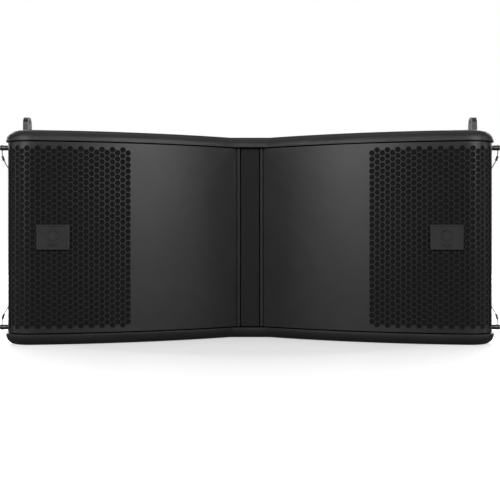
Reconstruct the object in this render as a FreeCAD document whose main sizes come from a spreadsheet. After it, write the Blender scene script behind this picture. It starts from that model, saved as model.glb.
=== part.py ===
# Line array speaker: a V-fronted wooden cabinet with two 12 inch low-frequency drivers behind curved steel
# grilles, a central slot for two compression drivers, side rigging with sliding links and quick-release
# pins, and a rear splay arm. Millimetres. X is the width, Y runs from the front to the back, Z is up.
# The origin is under the middle of the cabinet, on the floor.
import FreeCAD, Part
import math
import os
import Sketcher
from FreeCAD import Placement, Rotation, Vector

doc = FreeCAD.newDocument("line_array_speaker")
dims = doc.addObject("Spreadsheet::Sheet", "dims")

driving_dimensions = {
    # cabinet
    "front": -225,          # front-most plane
    "half_width": 405,      # centre plane to the edge of the top panel
    "height": 352,
    "board": 18,            # top, bottom and driver boards
    "side_board": 12,
    "back_board": 15,
    "corner_radius": 45,    # front corners in plan
    "flare_radius": 717,    # each half of the front in plan
    "flare_x": -448,        # centre of that arc
    "apex_half": 30,        # flat in the middle of the V
    "edge_round": 16,
    "taper_start": 250,     # behind the front plane, where top and bottom start to close in
    "taper_slope": 0.17,
    "back_depth": 420,      # front plane to the rear edge of the top panel
    "back_half": 240,
    "side_inset": 5,        # top panel edge to the face of the side boards
    # grille and slot
    "grille_inset": 3.3,
    "grille_sheet": 1.5,
    "grille_gap": 2,        # above and below the grille
    "grille_end": 78,       # where the side return of the grille stops
    "foam": 4,
    "slot_half": 16,
    "trim_width": 4.2,
    # low-frequency drivers
    "baffle_angle": 17,
    "baffle_y": 133,        # depth of the driver board's face at its inner end
    "chamber_half": 58,     # outer face of the walls beside the waveguide
    "chamber_board": 12,
    "chamber_depth": 300,
    "driver_radius": 152,
    "driver_hole": 141,
    # rigging
    "link_outer": 387,
    "link_thick": 8,
    "link_wide": 34,
    "link_y": 100,
    "link_rise": 30,        # above the top panel
    "link_length": 100,
    "link_travel": 30,
    "pin_radius": 3.5,
    "pin_height": 22,       # axis of the lower pins, and of the upper ones below the top face
    "pin_clearance": 0.1,
    "pin_end": 430,
    "rig_plate": 4,
    # rear
    "rear_extent": 450,
    "arm_thick": 8,
    "arm_pivot_height": 268,
}
for row, (alias, value) in enumerate(driving_dimensions.items(), 1):
    dims.set(f"A{row}", alias)
    dims.set(f"B{row}", str(value))
    dims.setAlias(f"B{row}", alias)
doc.recompute()

nodes = []          # finished sub-parts, in the order they are written


def size(text):
    """Value of an expression over the sheet's cells."""
    return float(dims.evalExpression(text))


def keep(piece, label):
    """Names a finished sub-part and puts it on the list to be written."""
    piece.Label = label
    nodes.append(piece)
    return piece


def bind_place(piece, x="0", y="0", z="0"):
    """Binds the base of a Placement to the sheet."""
    for axis, text in (("x", x), ("y", y), ("z", z)):
        piece.setExpression(f"Placement.Base.{axis}", text)
    return piece


def box(name, x, y, z, length, width, height):
    """Box from its lowest corner and its size, all as expressions."""
    piece = doc.addObject("Part::Box", name)
    piece.setExpression("Length", length)
    piece.setExpression("Width", width)
    piece.setExpression("Height", height)
    return bind_place(piece, x, y, z)


def rod(name, x, y, z, radius, length, axis="z"):
    """Cylinder from the centre of its first face along an axis."""
    piece = doc.addObject("Part::Cylinder", name)
    piece.setExpression("Radius", radius)
    piece.setExpression("Height", length)
    turn = {"x": Rotation(Vector(0, 1, 0), 90), "y": Rotation(Vector(1, 0, 0), -90), "z": Rotation()}
    piece.Placement = Placement(Vector(), turn[axis])
    return bind_place(piece, x, y, z)


def join(name, *pieces):
    """Fuses pieces into one solid."""
    piece = doc.addObject("Part::MultiFuse", name)
    piece.Shapes = list(pieces)
    piece.Refine = True
    return piece


def cut(name, base, *tools):
    """Takes tools away from a base."""
    piece = doc.addObject("Part::Cut", name)
    piece.Base = base
    piece.Tool = tools[0] if len(tools) == 1 else join(name + "_tools", *tools)
    return piece


def overlap(name, first, second):
    """Keeps what two pieces share."""
    piece = doc.addObject("Part::Common", name)
    piece.Base = first
    piece.Tool = second
    return piece


def group(name, *pieces):
    """Puts separate solids in one sub-part."""
    piece = doc.addObject("Part::Compound", name)
    piece.Links = list(pieces)
    return piece


def mirrored(name, source, normal=(1, 0, 0), base=(0, 0, 0)):
    """The same piece on the other side of a plane."""
    piece = doc.addObject("Part::Mirroring", name)
    piece.Source = source
    piece.Normal = Vector(*normal)
    piece.Base = Vector(*base)
    return piece


def outline(body, role, corners):
    """Closed sketch on an origin plane of a body. A corner is (x, y) or, where an arc leads on from it to the
    next one, (x, y, radius, side), with side +1 where the arc bulges to the right of its direction."""
    sketch = body.newObject("Sketcher::SketchObject", body.Name + "_outline")
    plane = [feature for feature in body.Origin.OriginFeatures if feature.Role == role][0]
    sketch.AttachmentSupport = [(plane, "")]
    sketch.MapMode = "FlatFace"
    points = [Vector(size(corner[0]), size(corner[1]), 0) for corner in corners]
    for index, corner in enumerate(corners):
        start = points[index]
        end = points[(index + 1) % len(points)]
        if len(corner) == 2:
            sketch.addGeometry(Part.LineSegment(start, end))
            continue
        chord = end - start
        radius = size(corner[2])
        right = Vector(chord.y, -chord.x, 0).normalize() * corner[3]
        rise = radius - math.sqrt(radius ** 2 - (chord.Length / 2) ** 2)
        middle = (start + end) * 0.5 + right * rise
        sketch.addGeometry(Part.Arc(start, middle, end))
    for index, corner in enumerate(corners):
        curve = sketch.Geometry[index]
        start_point = 1
        if len(corner) > 2 and curve.StartPoint.distanceToPoint(points[index]) > 0.001:
            start_point = 2
        for kind, text in (("DistanceX", corner[0]), ("DistanceY", corner[1])):
            value = size(text)
            number = sketch.addConstraint(Sketcher.Constraint(kind, -1, 1, index, start_point, value))
            sketch.setExpression(f"Constraints[{number}]", text)
        if len(corner) > 2:
            number = sketch.addConstraint(Sketcher.Constraint("Radius", index, size(corner[2])))
            sketch.setExpression(f"Constraints[{number}]", corner[2])
    for index in range(len(corners)):
        after = (index + 1) % len(corners)
        ends = []
        for curve_index in (index, after):
            curve = sketch.Geometry[curve_index]
            near = 1 if curve.StartPoint.distanceToPoint(points[after]) < 0.001 else 2
            ends.append((curve_index, near))
        sketch.addConstraint(Sketcher.Constraint("Coincident", *ends[0], *ends[1]))
    return sketch


def plate(name, role, corners, thickness, offset="0"):
    """Body padded from an outline that stands off an origin plane."""
    body = doc.addObject("PartDesign::Body", name)
    sketch = outline(body, role, corners)
    sketch.setExpression("AttachmentOffset.Base.z", offset)
    pad = body.newObject("PartDesign::Pad", name + "_pad")
    pad.Profile = sketch
    pad.setExpression("Length", thickness)
    return body


# Plan of the cabinet's left half, as expressions: the flare arc, the corner arc tangent to it, the side,
# the angled rear corner and the back.
CORNER_X = "(-dims.half_width + dims.corner_radius)"
CORNER_Y = "(dims.front + dims.corner_radius)"
FLARE_Y = (f"({CORNER_Y} + sqrt((dims.flare_radius - dims.corner_radius)^2"
           f" - ({CORNER_X} - dims.flare_x)^2))")
REACH = "(dims.flare_radius / (dims.flare_radius - dims.corner_radius))"
MEET_X = f"(dims.flare_x + ({CORNER_X} - dims.flare_x) * {REACH})"
MEET_Y = f"({FLARE_Y} + ({CORNER_Y} - {FLARE_Y}) * {REACH})"
APEX_Y = f"({FLARE_Y} - sqrt(dims.flare_radius^2 - (dims.apex_half + dims.flare_x)^2))"
TAPER_Y = "(dims.front + dims.taper_start)"
BACK_Y = "(dims.front + dims.back_depth)"
TOP_Z = "dims.height"
INNER_TOP = "(dims.height - dims.board)"
SIDE_OUT = "(dims.half_width - dims.side_inset)"
SIDE_IN = f"({SIDE_OUT} - dims.side_board)"
INNER_HEIGHT = "(dims.height - 2 * dims.board)"

flare_centre = Vector(size("dims.flare_x"), size(FLARE_Y), 0)
corner_centre = Vector(size(CORNER_X), size(CORNER_Y), 0)
front = size("dims.front")
height = size("dims.height")
middle = height / 2


def round_edges(name, piece, radius_text, outer_height, wanted):
    """Rounds the edges of a board that lie on its outer face, whose height outer_height() gives at a depth,
    and that wanted() accepts."""
    doc.recompute()
    numbers = []
    for number, edge in enumerate(piece.Shape.Edges, 1):
        on_face = all(abs(vertex.Z - outer_height(vertex.Y)) < 0.01 for vertex in edge.Vertexes)
        if on_face and wanted(edge.BoundBox.Center):
            numbers.append((number, size(radius_text), size(radius_text)))
    fillet = doc.addObject("Part::Fillet", name)
    fillet.Base = piece
    fillet.Edges = numbers
    return fillet


# Top and bottom boards: a flat front part with a rounded edge, and a rear part that slopes inwards.
front_board = plate("front_board", "XY_Plane", [
    ("-dims.half_width", TAPER_Y),
    ("-dims.half_width", CORNER_Y, "dims.corner_radius", 1),
    (MEET_X, MEET_Y, "dims.flare_radius", 1),
    ("-dims.apex_half", APEX_Y),
    ("dims.apex_half", APEX_Y, "dims.flare_radius", 1),
    (f"-{MEET_X}", MEET_Y, "dims.corner_radius", 1),
    ("dims.half_width", CORNER_Y),
    ("dims.half_width", TAPER_Y),
], "dims.board", INNER_TOP)
taper_y = size(TAPER_Y)
taper_slope = size("dims.taper_slope")
rounded_board = round_edges("rounded_board", front_board, "dims.edge_round", lambda y: height,
                            lambda centre: centre.y < taper_y - 1)
rear_run = "(dims.back_depth - dims.taper_start)"
rear_profile = plate("rear_profile", "YZ_Plane", [
    (TAPER_Y, TOP_Z),
    (TAPER_Y, INNER_TOP),
    (BACK_Y, f"{INNER_TOP} - {rear_run} * dims.taper_slope"),
    (BACK_Y, f"{TOP_Z} - {rear_run} * dims.taper_slope"),
], "2 * dims.half_width", "-dims.half_width")
rear_plan = plate("rear_plan", "XY_Plane", [
    ("-dims.half_width", TAPER_Y),
    ("dims.half_width", TAPER_Y),
    ("dims.back_half", BACK_Y),
    ("-dims.back_half", BACK_Y),
], "dims.height")
rear_board = overlap("rear_board", rear_profile, rear_plan)
rounded_rear = round_edges("rounded_rear", rear_board, "dims.edge_round - 2",
                           lambda y: height - (y - taper_y) * taper_slope, lambda centre: centre.y > taper_y + 1)
plain_top = join("plain_top", rounded_board, rounded_rear)

LINK_FRONT = "(dims.front + dims.link_y - dims.link_wide / 2)"
link_slots = []
for side, low_x in (("left", "-dims.link_outer - 1"), ("right", "dims.link_outer - dims.link_thick - 5")):
    link_slots.append(box(side + "_link_slot", low_x, f"{LINK_FRONT} - 3", "-1",
                          "dims.link_thick + 6", "dims.link_wide + 6", "dims.height + 2"))
top_panel = keep(cut("top_board", plain_top, *link_slots), "top_panel")
plain_bottom = mirrored("plain_bottom", plain_top, (0, 0, 1), (0, 0, middle))
bottom_panel = keep(cut("bottom_board", plain_bottom, *link_slots), "bottom_panel")

# Side boards, with the holes for the pins.
PIN_LOW = "dims.pin_height"
PIN_HIGH = "(dims.height - dims.pin_height)"
PIN_Y = "(dims.front + dims.link_y)"
PIN_HOLE = "(dims.pin_radius + dims.pin_clearance)"
pin_drills = [rod(f"pin_drill_{level}", "-dims.half_width - 50", PIN_Y, height_text, PIN_HOLE,
                  "2 * dims.half_width + 100", "x")
              for level, height_text in (("low", PIN_LOW), ("high", PIN_HIGH))]
side_board = box("side_board", f"-{SIDE_OUT}", "dims.front + dims.corner_radius + 2", "dims.board",
                 "dims.side_board", "dims.taper_start - dims.corner_radius - 2", INNER_HEIGHT)
left_side = keep(cut("left_side_board", side_board, *pin_drills), "left_side_panel")
keep(mirrored("right_side_board", left_side), "right_side_panel")

# Space between the top and bottom boards, to trim the rear corner boards and the back.
inside = plate("inside", "YZ_Plane", [
    ("dims.front - 10", "dims.board"),
    (TAPER_Y, "dims.board"),
    (f"{BACK_Y} + 10", f"dims.board + ({rear_run} + 10) * dims.taper_slope"),
    (f"{BACK_Y} + 10", f"{INNER_TOP} - ({rear_run} + 10) * dims.taper_slope"),
    (TAPER_Y, INNER_TOP),
    ("dims.front - 10", INNER_TOP),
], "2 * dims.half_width", "-dims.half_width")
BACK_FACE = f"({BACK_Y} - 3)"
BACK_INNER = f"({BACK_FACE} - dims.back_board)"
corner_board = plate("corner_board", "XY_Plane", [
    (f"-{SIDE_OUT}", TAPER_Y),
    (f"-{SIDE_IN}", TAPER_Y),
    ("-dims.back_half - 4 + dims.back_board", f"{BACK_INNER}"),
    ("-dims.back_half - 4", f"{BACK_INNER}"),
    ("-dims.back_half - 4", f"{BACK_FACE}"),
], "dims.height")
left_corner = overlap("left_corner", corner_board, inside)

# A handle cup sits in an oblong hole through each rear corner board.
corner_start = Vector(-size(SIDE_OUT), size(TAPER_Y), 0)
corner_end = Vector(-size("dims.back_half") - 4, size(BACK_FACE), 0)
along = (corner_end - corner_start).normalize()
outward = Vector(-along.y, along.x, 0)
cup_centre = (corner_start + corner_end) * 0.5 + Vector(0, 0, middle)
cup_turn = Rotation(along, Vector(0, 0, 1), outward, "ZXY")
cup_long, cup_high, cup_deep, cup_wall, cup_lip = 128, 120, 60, 2.5, 9


def oblong(length, width, depth, base):
    """Rounded-corner prism across a handle, from a base height along its axis."""
    prism = Part.makeBox(length, width, depth, Vector(-length / 2, -width / 2, base))
    upright = [edge for edge in prism.Edges if abs(edge.tangentAt(edge.FirstParameter).z) > 0.9]
    return prism.makeFillet(14, upright)


def feature(name, shape, place=None):
    """Sub-part whose shape is set directly, because curves in space shape it."""
    piece = doc.addObject("Part::Feature", name)
    piece.Shape = shape
    if place:
        piece.Placement = place
    return piece


cup_place = Placement(cup_centre, cup_turn)
cup_hole = feature("cup_hole", oblong(cup_long + 0.4, cup_high + 0.4, 80, -70), cup_place)
left_corner_board = cut("left_corner_board", left_corner, cup_hole)
keep(group("corner_boards", left_corner_board, mirrored("right_corner_board", left_corner_board)),
     "rear_corner_panels")

# Back board with the openings for the input plate and the splay arm bracket's bolts.
back_board = plate("back_board", "XY_Plane", [
    ("-dims.back_half - 4", BACK_INNER),
    ("dims.back_half + 4", BACK_INNER),
    ("dims.back_half + 4", BACK_FACE),
    ("-dims.back_half - 4", BACK_FACE),
], "dims.height")
trimmed_back = overlap("trimmed_back", back_board, inside)
plate_half_x, plate_half_z, plate_mid_z = 92, 54, 106
plate_opening = box("plate_opening", f"-{plate_half_x - 14}", BACK_INNER + " - 5",
                    f"{plate_mid_z - plate_half_z + 12}", f"{2 * (plate_half_x - 14)}",
                    "dims.back_board + 10", f"{2 * (plate_half_z - 12)}")
keep(cut("cut_back", trimmed_back, plate_opening), "back_panel")


def plan_point(centre, radius, target_x):
    """Point of a circle in plan at a given X, on the front side."""
    return Vector(target_x, centre.y - math.sqrt(radius ** 2 - (target_x - centre.x) ** 2), 0)


def skin_edges(inset, side_end, end_x):
    """Side, corner arc and flare arc, a given distance inside the board's edge."""
    radius = size("dims.flare_radius") - inset
    turn = size("dims.corner_radius") - inset
    towards = (corner_centre - flare_centre).normalize()
    meet = flare_centre + towards * radius
    side_x = -size("dims.half_width") + inset
    back = Vector(side_x, side_end, 0)
    corner_back = Vector(side_x, corner_centre.y, 0)
    bisector = (Vector(-1, 0, 0) + towards).normalize()
    inner = plan_point(flare_centre, radius, end_x)
    between = plan_point(flare_centre, radius, (meet.x + inner.x) / 2)
    return [back, corner_back, corner_centre + bisector * turn, meet, between, inner]


def front_skin(near, far, low, high, side_end, end_x, lip=0):
    """Curved sheet that follows the front, between two insets, with an optional lip folded back."""
    outer = skin_edges(near, side_end, end_x)
    inner = skin_edges(far, side_end, end_x)
    edges = [
        Part.makeLine(outer[0], outer[1]),
        Part.Arc(outer[1], outer[2], outer[3]).toShape(),
        Part.Arc(outer[3], outer[4], outer[5]).toShape(),
    ]
    if lip:
        wall = far - near
        back = outer[5].y + lip
        fold = plan_point(flare_centre, size("dims.flare_radius") - far, end_x - wall)
        inner[5] = fold
        path = [outer[5], Vector(end_x, back, 0), Vector(end_x - wall, back, 0), fold]
        edges += [Part.makeLine(path[i], path[i + 1]) for i in range(3)]
        inner[4] = plan_point(flare_centre, size("dims.flare_radius") - far, (inner[3].x + fold.x) / 2)
    else:
        edges.append(Part.makeLine(outer[5], inner[5]))
    edges += [
        Part.Arc(inner[5], inner[4], inner[3]).toShape(),
        Part.Arc(inner[3], inner[2], inner[1]).toShape(),
        Part.makeLine(inner[1], inner[0]),
        Part.makeLine(inner[0], outer[0]),
    ]
    face = Part.Face(Part.Wire(edges))
    sheet = face.extrude(Vector(0, 0, high - low))
    sheet.translate(Vector(0, 0, low))
    return sheet


# Grilles: one sheet of steel each side, round the corner and out to the slot, with its inner edge folded back.
board = size("dims.board")
inset = size("dims.grille_inset")
grille_back = inset + size("dims.grille_sheet")
grille_low = board + size("dims.grille_gap")
grille_high = height - grille_low
side_return = front + size("dims.grille_end")
trim_out = size("dims.slot_half") + 2 + size("dims.trim_width")
grille_inner_x = -(trim_out + 1.4)
foam_end_x = -190
left_grille = feature("left_grille_sheet", front_skin(inset, grille_back, grille_low, grille_high, side_return,
                                                      grille_inner_x, 12))
screw_x, screw_y = -size("dims.half_width") + inset, side_return - 12
grille_screw_heights = (48, middle, height - 48)
screw_holes = [rod(f"grille_screw_hole_{number}", "-dims.half_width", str(screw_y), str(z), "2.2", "20", "x")
               for number, z in enumerate(grille_screw_heights)]
left_grille_cut = cut("left_grille_cut", left_grille, *screw_holes)
keep(left_grille_cut, "left_grille")
keep(mirrored("right_grille_cut", left_grille_cut), "right_grille")
foam_near = grille_back + 0.2
left_foam = feature("left_foam", front_skin(foam_near, foam_near + size("dims.foam"), grille_low + 2,
                                            grille_high - 2, corner_centre.y + 1, foam_end_x))
keep(group("foams", left_foam, mirrored("right_foam", left_foam)), "grille_foams")

# Middle of the front: the cover over the slot, and a trim each side of it.
SLOT_Y = f"({APEX_Y} + 9)"
GRILLE_LOW = "(dims.board + dims.grille_gap)"
GRILLE_TALL = "(dims.height - 2 * dims.board - 2 * dims.grille_gap)"
left_trim = box("left_trim", "-dims.slot_half - 2 - dims.trim_width", f"{SLOT_Y} - 1", GRILLE_LOW,
                "dims.trim_width", "13", GRILLE_TALL)
keep(group("trims", left_trim, mirrored("right_trim", left_trim)), "slot_trims")
cover_sheet = box("cover_sheet", "-dims.slot_half", SLOT_Y, GRILLE_LOW, "2 * dims.slot_half", "1.5", GRILLE_TALL)
cover_left_lip = box("cover_left_lip", "-dims.slot_half", SLOT_Y, GRILLE_LOW, "1.5", "11", GRILLE_TALL)
cover_right_lip = box("cover_right_lip", "dims.slot_half - 1.5", SLOT_Y, GRILLE_LOW, "1.5", "11", GRILLE_TALL)
keep(join("slot_cover", cover_sheet, cover_left_lip, cover_right_lip), "hf_slot_cover")

# Badge on each grille: a thin rounded plate tangent to the sheet.
badge_x, badge_wide, badge_tall, badge_thick = -321, 53, 41, 2.2
badge_point = plan_point(flare_centre, size("dims.flare_radius") - inset, badge_x)
badge_normal = (badge_point - flare_centre).normalize()
badge_side = Vector(-badge_normal.y, badge_normal.x, 0)
badge_place = Placement(badge_point + badge_normal * 0.55 + Vector(0, 0, middle),
                        Rotation(badge_side, Vector(0, 0, 1), badge_normal, "ZXY"))
badge_blank = Part.makeBox(badge_wide, badge_tall, badge_thick, Vector(-badge_wide / 2, -badge_tall / 2, 0))
badge_corners = [edge for edge in badge_blank.Edges if abs(edge.tangentAt(edge.FirstParameter).z) > 0.9]
badge_round = badge_blank.makeFillet(3, badge_corners)
badge_hollow = Part.makeBox(badge_wide - 5, badge_tall - 5, 1, Vector(2.5 - badge_wide / 2, 2.5 - badge_tall / 2,
                                                                      badge_thick - 1))
left_badge = feature("left_badge", badge_round.cut(badge_hollow), badge_place)
keep(group("badge_pair", left_badge, mirrored("right_badge", left_badge)), "badges")


def screw(head_radius, head_height, shank_radius, shank_length, socket=True):
    """Screw along +Z with its head's seat at zero and its shank below."""
    body = Part.makeCylinder(head_radius, head_height)
    body = body.makeFillet(head_height * 0.4, [body.Edges[0]])
    if socket:
        side = head_radius * 0.5
        corners = [Vector(side * math.cos(math.radians(60 * i)), side * math.sin(math.radians(60 * i)), 0)
                   for i in range(7)]
        drive = Part.Face(Part.makePolygon(corners)).extrude(Vector(0, 0, head_height))
        drive.translate(Vector(0, 0, head_height * 0.45))
        body = body.cut(drive)
    return body.fuse(Part.makeCylinder(shank_radius, shank_length, Vector(0, 0, -shank_length))).removeSplitter()


def screws_at(name, seats, *sizes):
    """One sub-part of separate screws. A seat is a point and the direction the head faces."""
    shapes = []
    for point, facing in seats:
        one = screw(*sizes)
        one.Placement = Placement(point, Rotation(Vector(0, 0, 1), facing))
        shapes.append(one)
    return feature(name, Part.makeCompound(shapes))


grille_seats = []
for sign in (-1, 1):
    for z in grille_screw_heights:
        grille_seats.append((Vector(-sign * screw_x, screw_y, z), Vector(sign, 0, 0)))
keep(screws_at("grille_screw_set", grille_seats, 3.4, 1.2, 2, 1.6), "grille_screws")

# Driver boards, from the side boards in to the walls beside the waveguide.
TILT = "tan(dims.baffle_angle * 1 deg)"
BAFFLE_OUT = f"(dims.front + dims.baffle_y - ({SIDE_IN} - dims.chamber_half) * {TILT})"
BAFFLE_IN = "(dims.front + dims.baffle_y)"
BAFFLE_DEEP = "(dims.board / cos(dims.baffle_angle * 1 deg))"
baffle = plate("baffle", "XY_Plane", [
    (f"-{SIDE_IN}", BAFFLE_OUT),
    ("-dims.chamber_half", BAFFLE_IN),
    ("-dims.chamber_half", f"{BAFFLE_IN} + {BAFFLE_DEEP}"),
    (f"-{SIDE_IN}", f"{BAFFLE_OUT} + {BAFFLE_DEEP}"),
], INNER_HEIGHT, "dims.board")
tilt = math.radians(size("dims.baffle_angle"))
baffle_start = Vector(-size(SIDE_IN), size(BAFFLE_OUT), 0)
baffle_stop = Vector(-size("dims.chamber_half"), size(BAFFLE_IN), 0)
facing = Vector(math.sin(tilt), -math.cos(tilt), 0)
driver_place = Placement((baffle_start + baffle_stop) * 0.5 + Vector(0, 0, middle),
                         Rotation(Vector(math.cos(tilt), math.sin(tilt), 0), Vector(0, 0, 1), facing, "ZXY"))
driver_hole = feature("driver_hole", Part.makeCylinder(size("dims.driver_hole"), 80, Vector(0, 0, -60)),
                      driver_place)
left_baffle = keep(cut("left_baffle", baffle, driver_hole), "left_lf_baffle")
keep(mirrored("right_baffle", left_baffle), "right_lf_baffle")

# Walls beside the waveguide, and the bulkhead that carries the compression drivers.
CHAMBER_FRONT = f"({BAFFLE_IN} + {BAFFLE_DEEP})"
CHAMBER_BACK = "(dims.front + dims.chamber_depth)"
left_wall = box("left_wall", "-dims.chamber_half", CHAMBER_FRONT, "dims.board", "dims.chamber_board",
                f"{CHAMBER_BACK} - {CHAMBER_FRONT}", INNER_HEIGHT)
trimmed_wall = overlap("trimmed_wall", left_wall, inside)
bulkhead_plain = box("bulkhead_plain", "-dims.chamber_half", CHAMBER_BACK, "dims.board + dims.chamber_board",
                     "2 * dims.chamber_half", "dims.chamber_board", f"{INNER_HEIGHT} - 2 * dims.chamber_board")
throat_radius, throat_offset, compression_radius, compression_long = 12.7, 70, 52, 58
throat_heights = (middle - throat_offset, middle + throat_offset)
throats = [rod(f"throat_{number}", "0", f"{CHAMBER_BACK} - 1", str(z), str(throat_radius),
               "dims.chamber_board + 2", "y")
           for number, z in enumerate(throat_heights)]
bulkhead = cut("bulkhead", bulkhead_plain, *throats)
keep(group("walls", trimmed_wall, mirrored("right_wall", trimmed_wall), bulkhead), "chamber_walls")

# Waveguide: two moulded halves with a slot that narrows towards the two throats.
guide_front = size(SLOT_Y) + 12.5
guide_back = size(CHAMBER_BACK)
guide_half = size("dims.chamber_half") - size("dims.chamber_board") - 1
mouth_half = 9
guide_plan = [Vector(0, guide_front, 0), Vector(-18, guide_front, 0),
              Vector(-guide_half, size(CHAMBER_FRONT) + 12, 0), Vector(-guide_half, guide_back, 0),
              Vector(0, guide_back, 0)]
guide_face = Part.Face(Part.makePolygon(guide_plan + guide_plan[:1]))
guide_block = guide_face.extrude(Vector(0, 0, height - 2 * board - 20))
guide_block.translate(Vector(0, 0, board + 10))


def upright_rectangle(y, half_wide, low, high):
    """Rectangle across the sound's path."""
    corners = [Vector(-half_wide, y, low), Vector(half_wide, y, low), Vector(half_wide, y, high),
               Vector(-half_wide, y, high)]
    return Part.makePolygon(corners + corners[:1])


throat_square = throat_radius * 0.86
for z in throat_heights:
    low_mouth = middle - 145 if z < middle else middle + 3
    high_mouth = middle - 3 if z < middle else middle + 145
    channel = Part.makeLoft([
        upright_rectangle(guide_front - 0.5, mouth_half, low_mouth, high_mouth),
        upright_rectangle(guide_back - 14, throat_square, z - throat_square, z + throat_square),
        upright_rectangle(guide_back + 0.5, throat_square, z - throat_square, z + throat_square),
    ], True, True)
    guide_block = guide_block.cut(channel)
left_guide = keep(feature("left_guide", guide_block), "waveguide_left_half")
keep(mirrored("right_guide", left_guide), "waveguide_right_half")

compression_shapes = []
for z in throat_heights:
    seat = guide_back + size("dims.chamber_board")
    towards_back = Vector(0, 1, 0)
    flange = Part.makeCylinder(compression_radius - 8, 8, Vector(0, seat, z), towards_back)
    pot = Part.makeCylinder(compression_radius, 30, Vector(0, seat + 8, z), towards_back)
    pot = pot.makeFillet(3, [pot.Edges[0], pot.Edges[2]])
    cap = Part.makeCylinder(compression_radius - 10, compression_long - 38, Vector(0, seat + 38, z), towards_back)
    cap = cap.makeFillet(6, [edge for edge in cap.Edges if edge.BoundBox.YMin > seat + compression_long - 1])
    bore = Part.makeCylinder(throat_radius, 22, Vector(0, seat - 1, z), towards_back)
    compression_shapes.append(flange.fuse([pot, cap]).cut(bore).removeSplitter())
keep(feature("compression_pair", Part.makeCompound(compression_shapes)), "compression_drivers")

# Low-frequency driver, drawn about its own axis: zero on the driver board's face, +Z to the front.
rim_high, ledge_radius, cone_edge, neck_radius, neck_z = 8, 134, 121, 38.6, -44
basket_z, top_plate_z, magnet_z, gap_floor, motor_z = -84, -92, -112, -115, -120
spider_z, spider_edge = -62, 78


def turned(points):
    """Solid turned about Z from a closed profile of (radius, z) points."""
    corners = [Vector(radius, 0, z) for radius, z in points]
    return Part.Face(Part.makePolygon(corners + corners[:1])).revolve(Vector(), Vector(0, 0, 1), 360)


def basket_shape():
    """Cast frame: rim, six legs with windows between them, and the plate that carries the motor."""
    rim_radius = size("dims.driver_radius")
    frame = turned([(140, -4), (140, 0), (rim_radius, 0), (rim_radius, rim_high - 2), (rim_radius - 2, rim_high),
                    (ledge_radius, rim_high), (ledge_radius, 3), (74, basket_z + 8), (42, basket_z + 8),
                    (42, basket_z), (80, basket_z)])
    spider_ledge = turned([(spider_edge - 2, spider_z - 5), (spider_edge - 2, spider_z),
                           (spider_edge + 14, spider_z), (spider_edge + 10, spider_z - 5)])
    frame = frame.fuse(spider_ledge)
    for number in range(6):
        window = Part.makeBox(60, 84, 40, Vector(88, -42, -52))
        window.rotate(Vector(), Vector(0, 0, 1), 60 * number)
        frame = frame.cut(window)
    for number in range(8):
        angle = math.radians(45 * number + 22.5)
        reach = rim_radius - 7
        frame = frame.cut(Part.makeCylinder(2.7, 20, Vector(reach * math.cos(angle), reach * math.sin(angle), -5)))
    return frame.removeSplitter()


def motor_shape():
    """Top plate, magnet ring and pole piece, with the gap that the voice coil moves in."""
    return turned([(0, motor_z), (66, motor_z), (70, motor_z + 4), (70, magnet_z), (75, magnet_z),
                   (75, top_plate_z), (72, basket_z), (41, basket_z), (41, gap_floor), (36, gap_floor),
                   (36, basket_z + 2),
                   (0, basket_z + 2)])


def cone_shapes():
    """Paper cone with its dust cap, and the former with its coil."""
    cone = turned([(neck_radius, neck_z), (80, -20), (cone_edge, 6), (cone_edge + 4, 6.6), (cone_edge + 4, 7.6),
                   (cone_edge - 0.4, 7.2), (79, -18.6), (neck_radius, neck_z + 1.6)])
    former = turned([(37.6, -104), (38.6, -104), (38.6, neck_z + 2), (37.6, neck_z + 2)])
    coil = turned([(38.6, -104), (40, -104), (40, -88), (38.6, -88)])
    dome = Part.makeSphere(78).cut(Part.makeSphere(77))
    dome = dome.common(Part.makeCylinder(47, 40, Vector(0, 0, 50)))
    dome.translate(Vector(0, 0, -97.6))
    dome = dome.cut(turned([(0, -120), (0, neck_z - 0.4), (neck_radius, neck_z + 1.6), (79, -18.6), (79, -120)]))
    return cone.fuse([former, coil, dome]).removeSplitter()


def surround_shape():
    """Half roll between the cone's edge and the rim."""
    middle_radius, roll, wall = 130, 5, 1
    outer = turned_roll(middle_radius, roll, 8.6)
    inner = turned_roll(middle_radius, roll - wall, 8.6)
    ring = outer.cut(inner)
    outer_edge, inner_edge = middle_radius + roll - wall, middle_radius - roll + wall
    outer_land = turned([(outer_edge, 8.2), (140, 8.2), (140, 9.2), (outer_edge, 9.2)])
    inner_land = turned([(cone_edge + 1, 7.8), (inner_edge, 7.8), (inner_edge, 8.8), (cone_edge + 1, 8.8)])
    return ring.fuse([outer_land, inner_land]).removeSplitter()


def turned_roll(middle_radius, roll, base):
    """Upper half of a ring."""
    ring = Part.makeTorus(middle_radius, roll, Vector(0, 0, base))
    return ring.cut(Part.makeBox(400, 400, 40, Vector(-200, -200, base - 40)))


def spider_shape():
    """Corrugated disc that centres the coil."""
    steps = 8
    wave = [(neck_radius + 0.1 + (spider_edge + 5 - neck_radius) * i / steps, spider_z + 1.5 + 1.2 * (-1) ** i)
            for i in range(steps)]
    wave.append((spider_edge + 5, spider_z + 0.3))
    upper = [(radius, z + 0.6) for radius, z in reversed(wave)]
    return turned(wave + upper)


driver_pieces = {
    "basket": basket_shape(),
    "motor": motor_shape(),
    "surround": surround_shape(),
    "cone": cone_shapes(),
    "spider": spider_shape(),
}
for piece_name, shape in driver_pieces.items():
    left_piece = keep(feature("left_" + piece_name, shape, driver_place), f"left_lf_{piece_name}")
    keep(mirrored("right_" + piece_name, left_piece), f"right_lf_{piece_name}")

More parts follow.
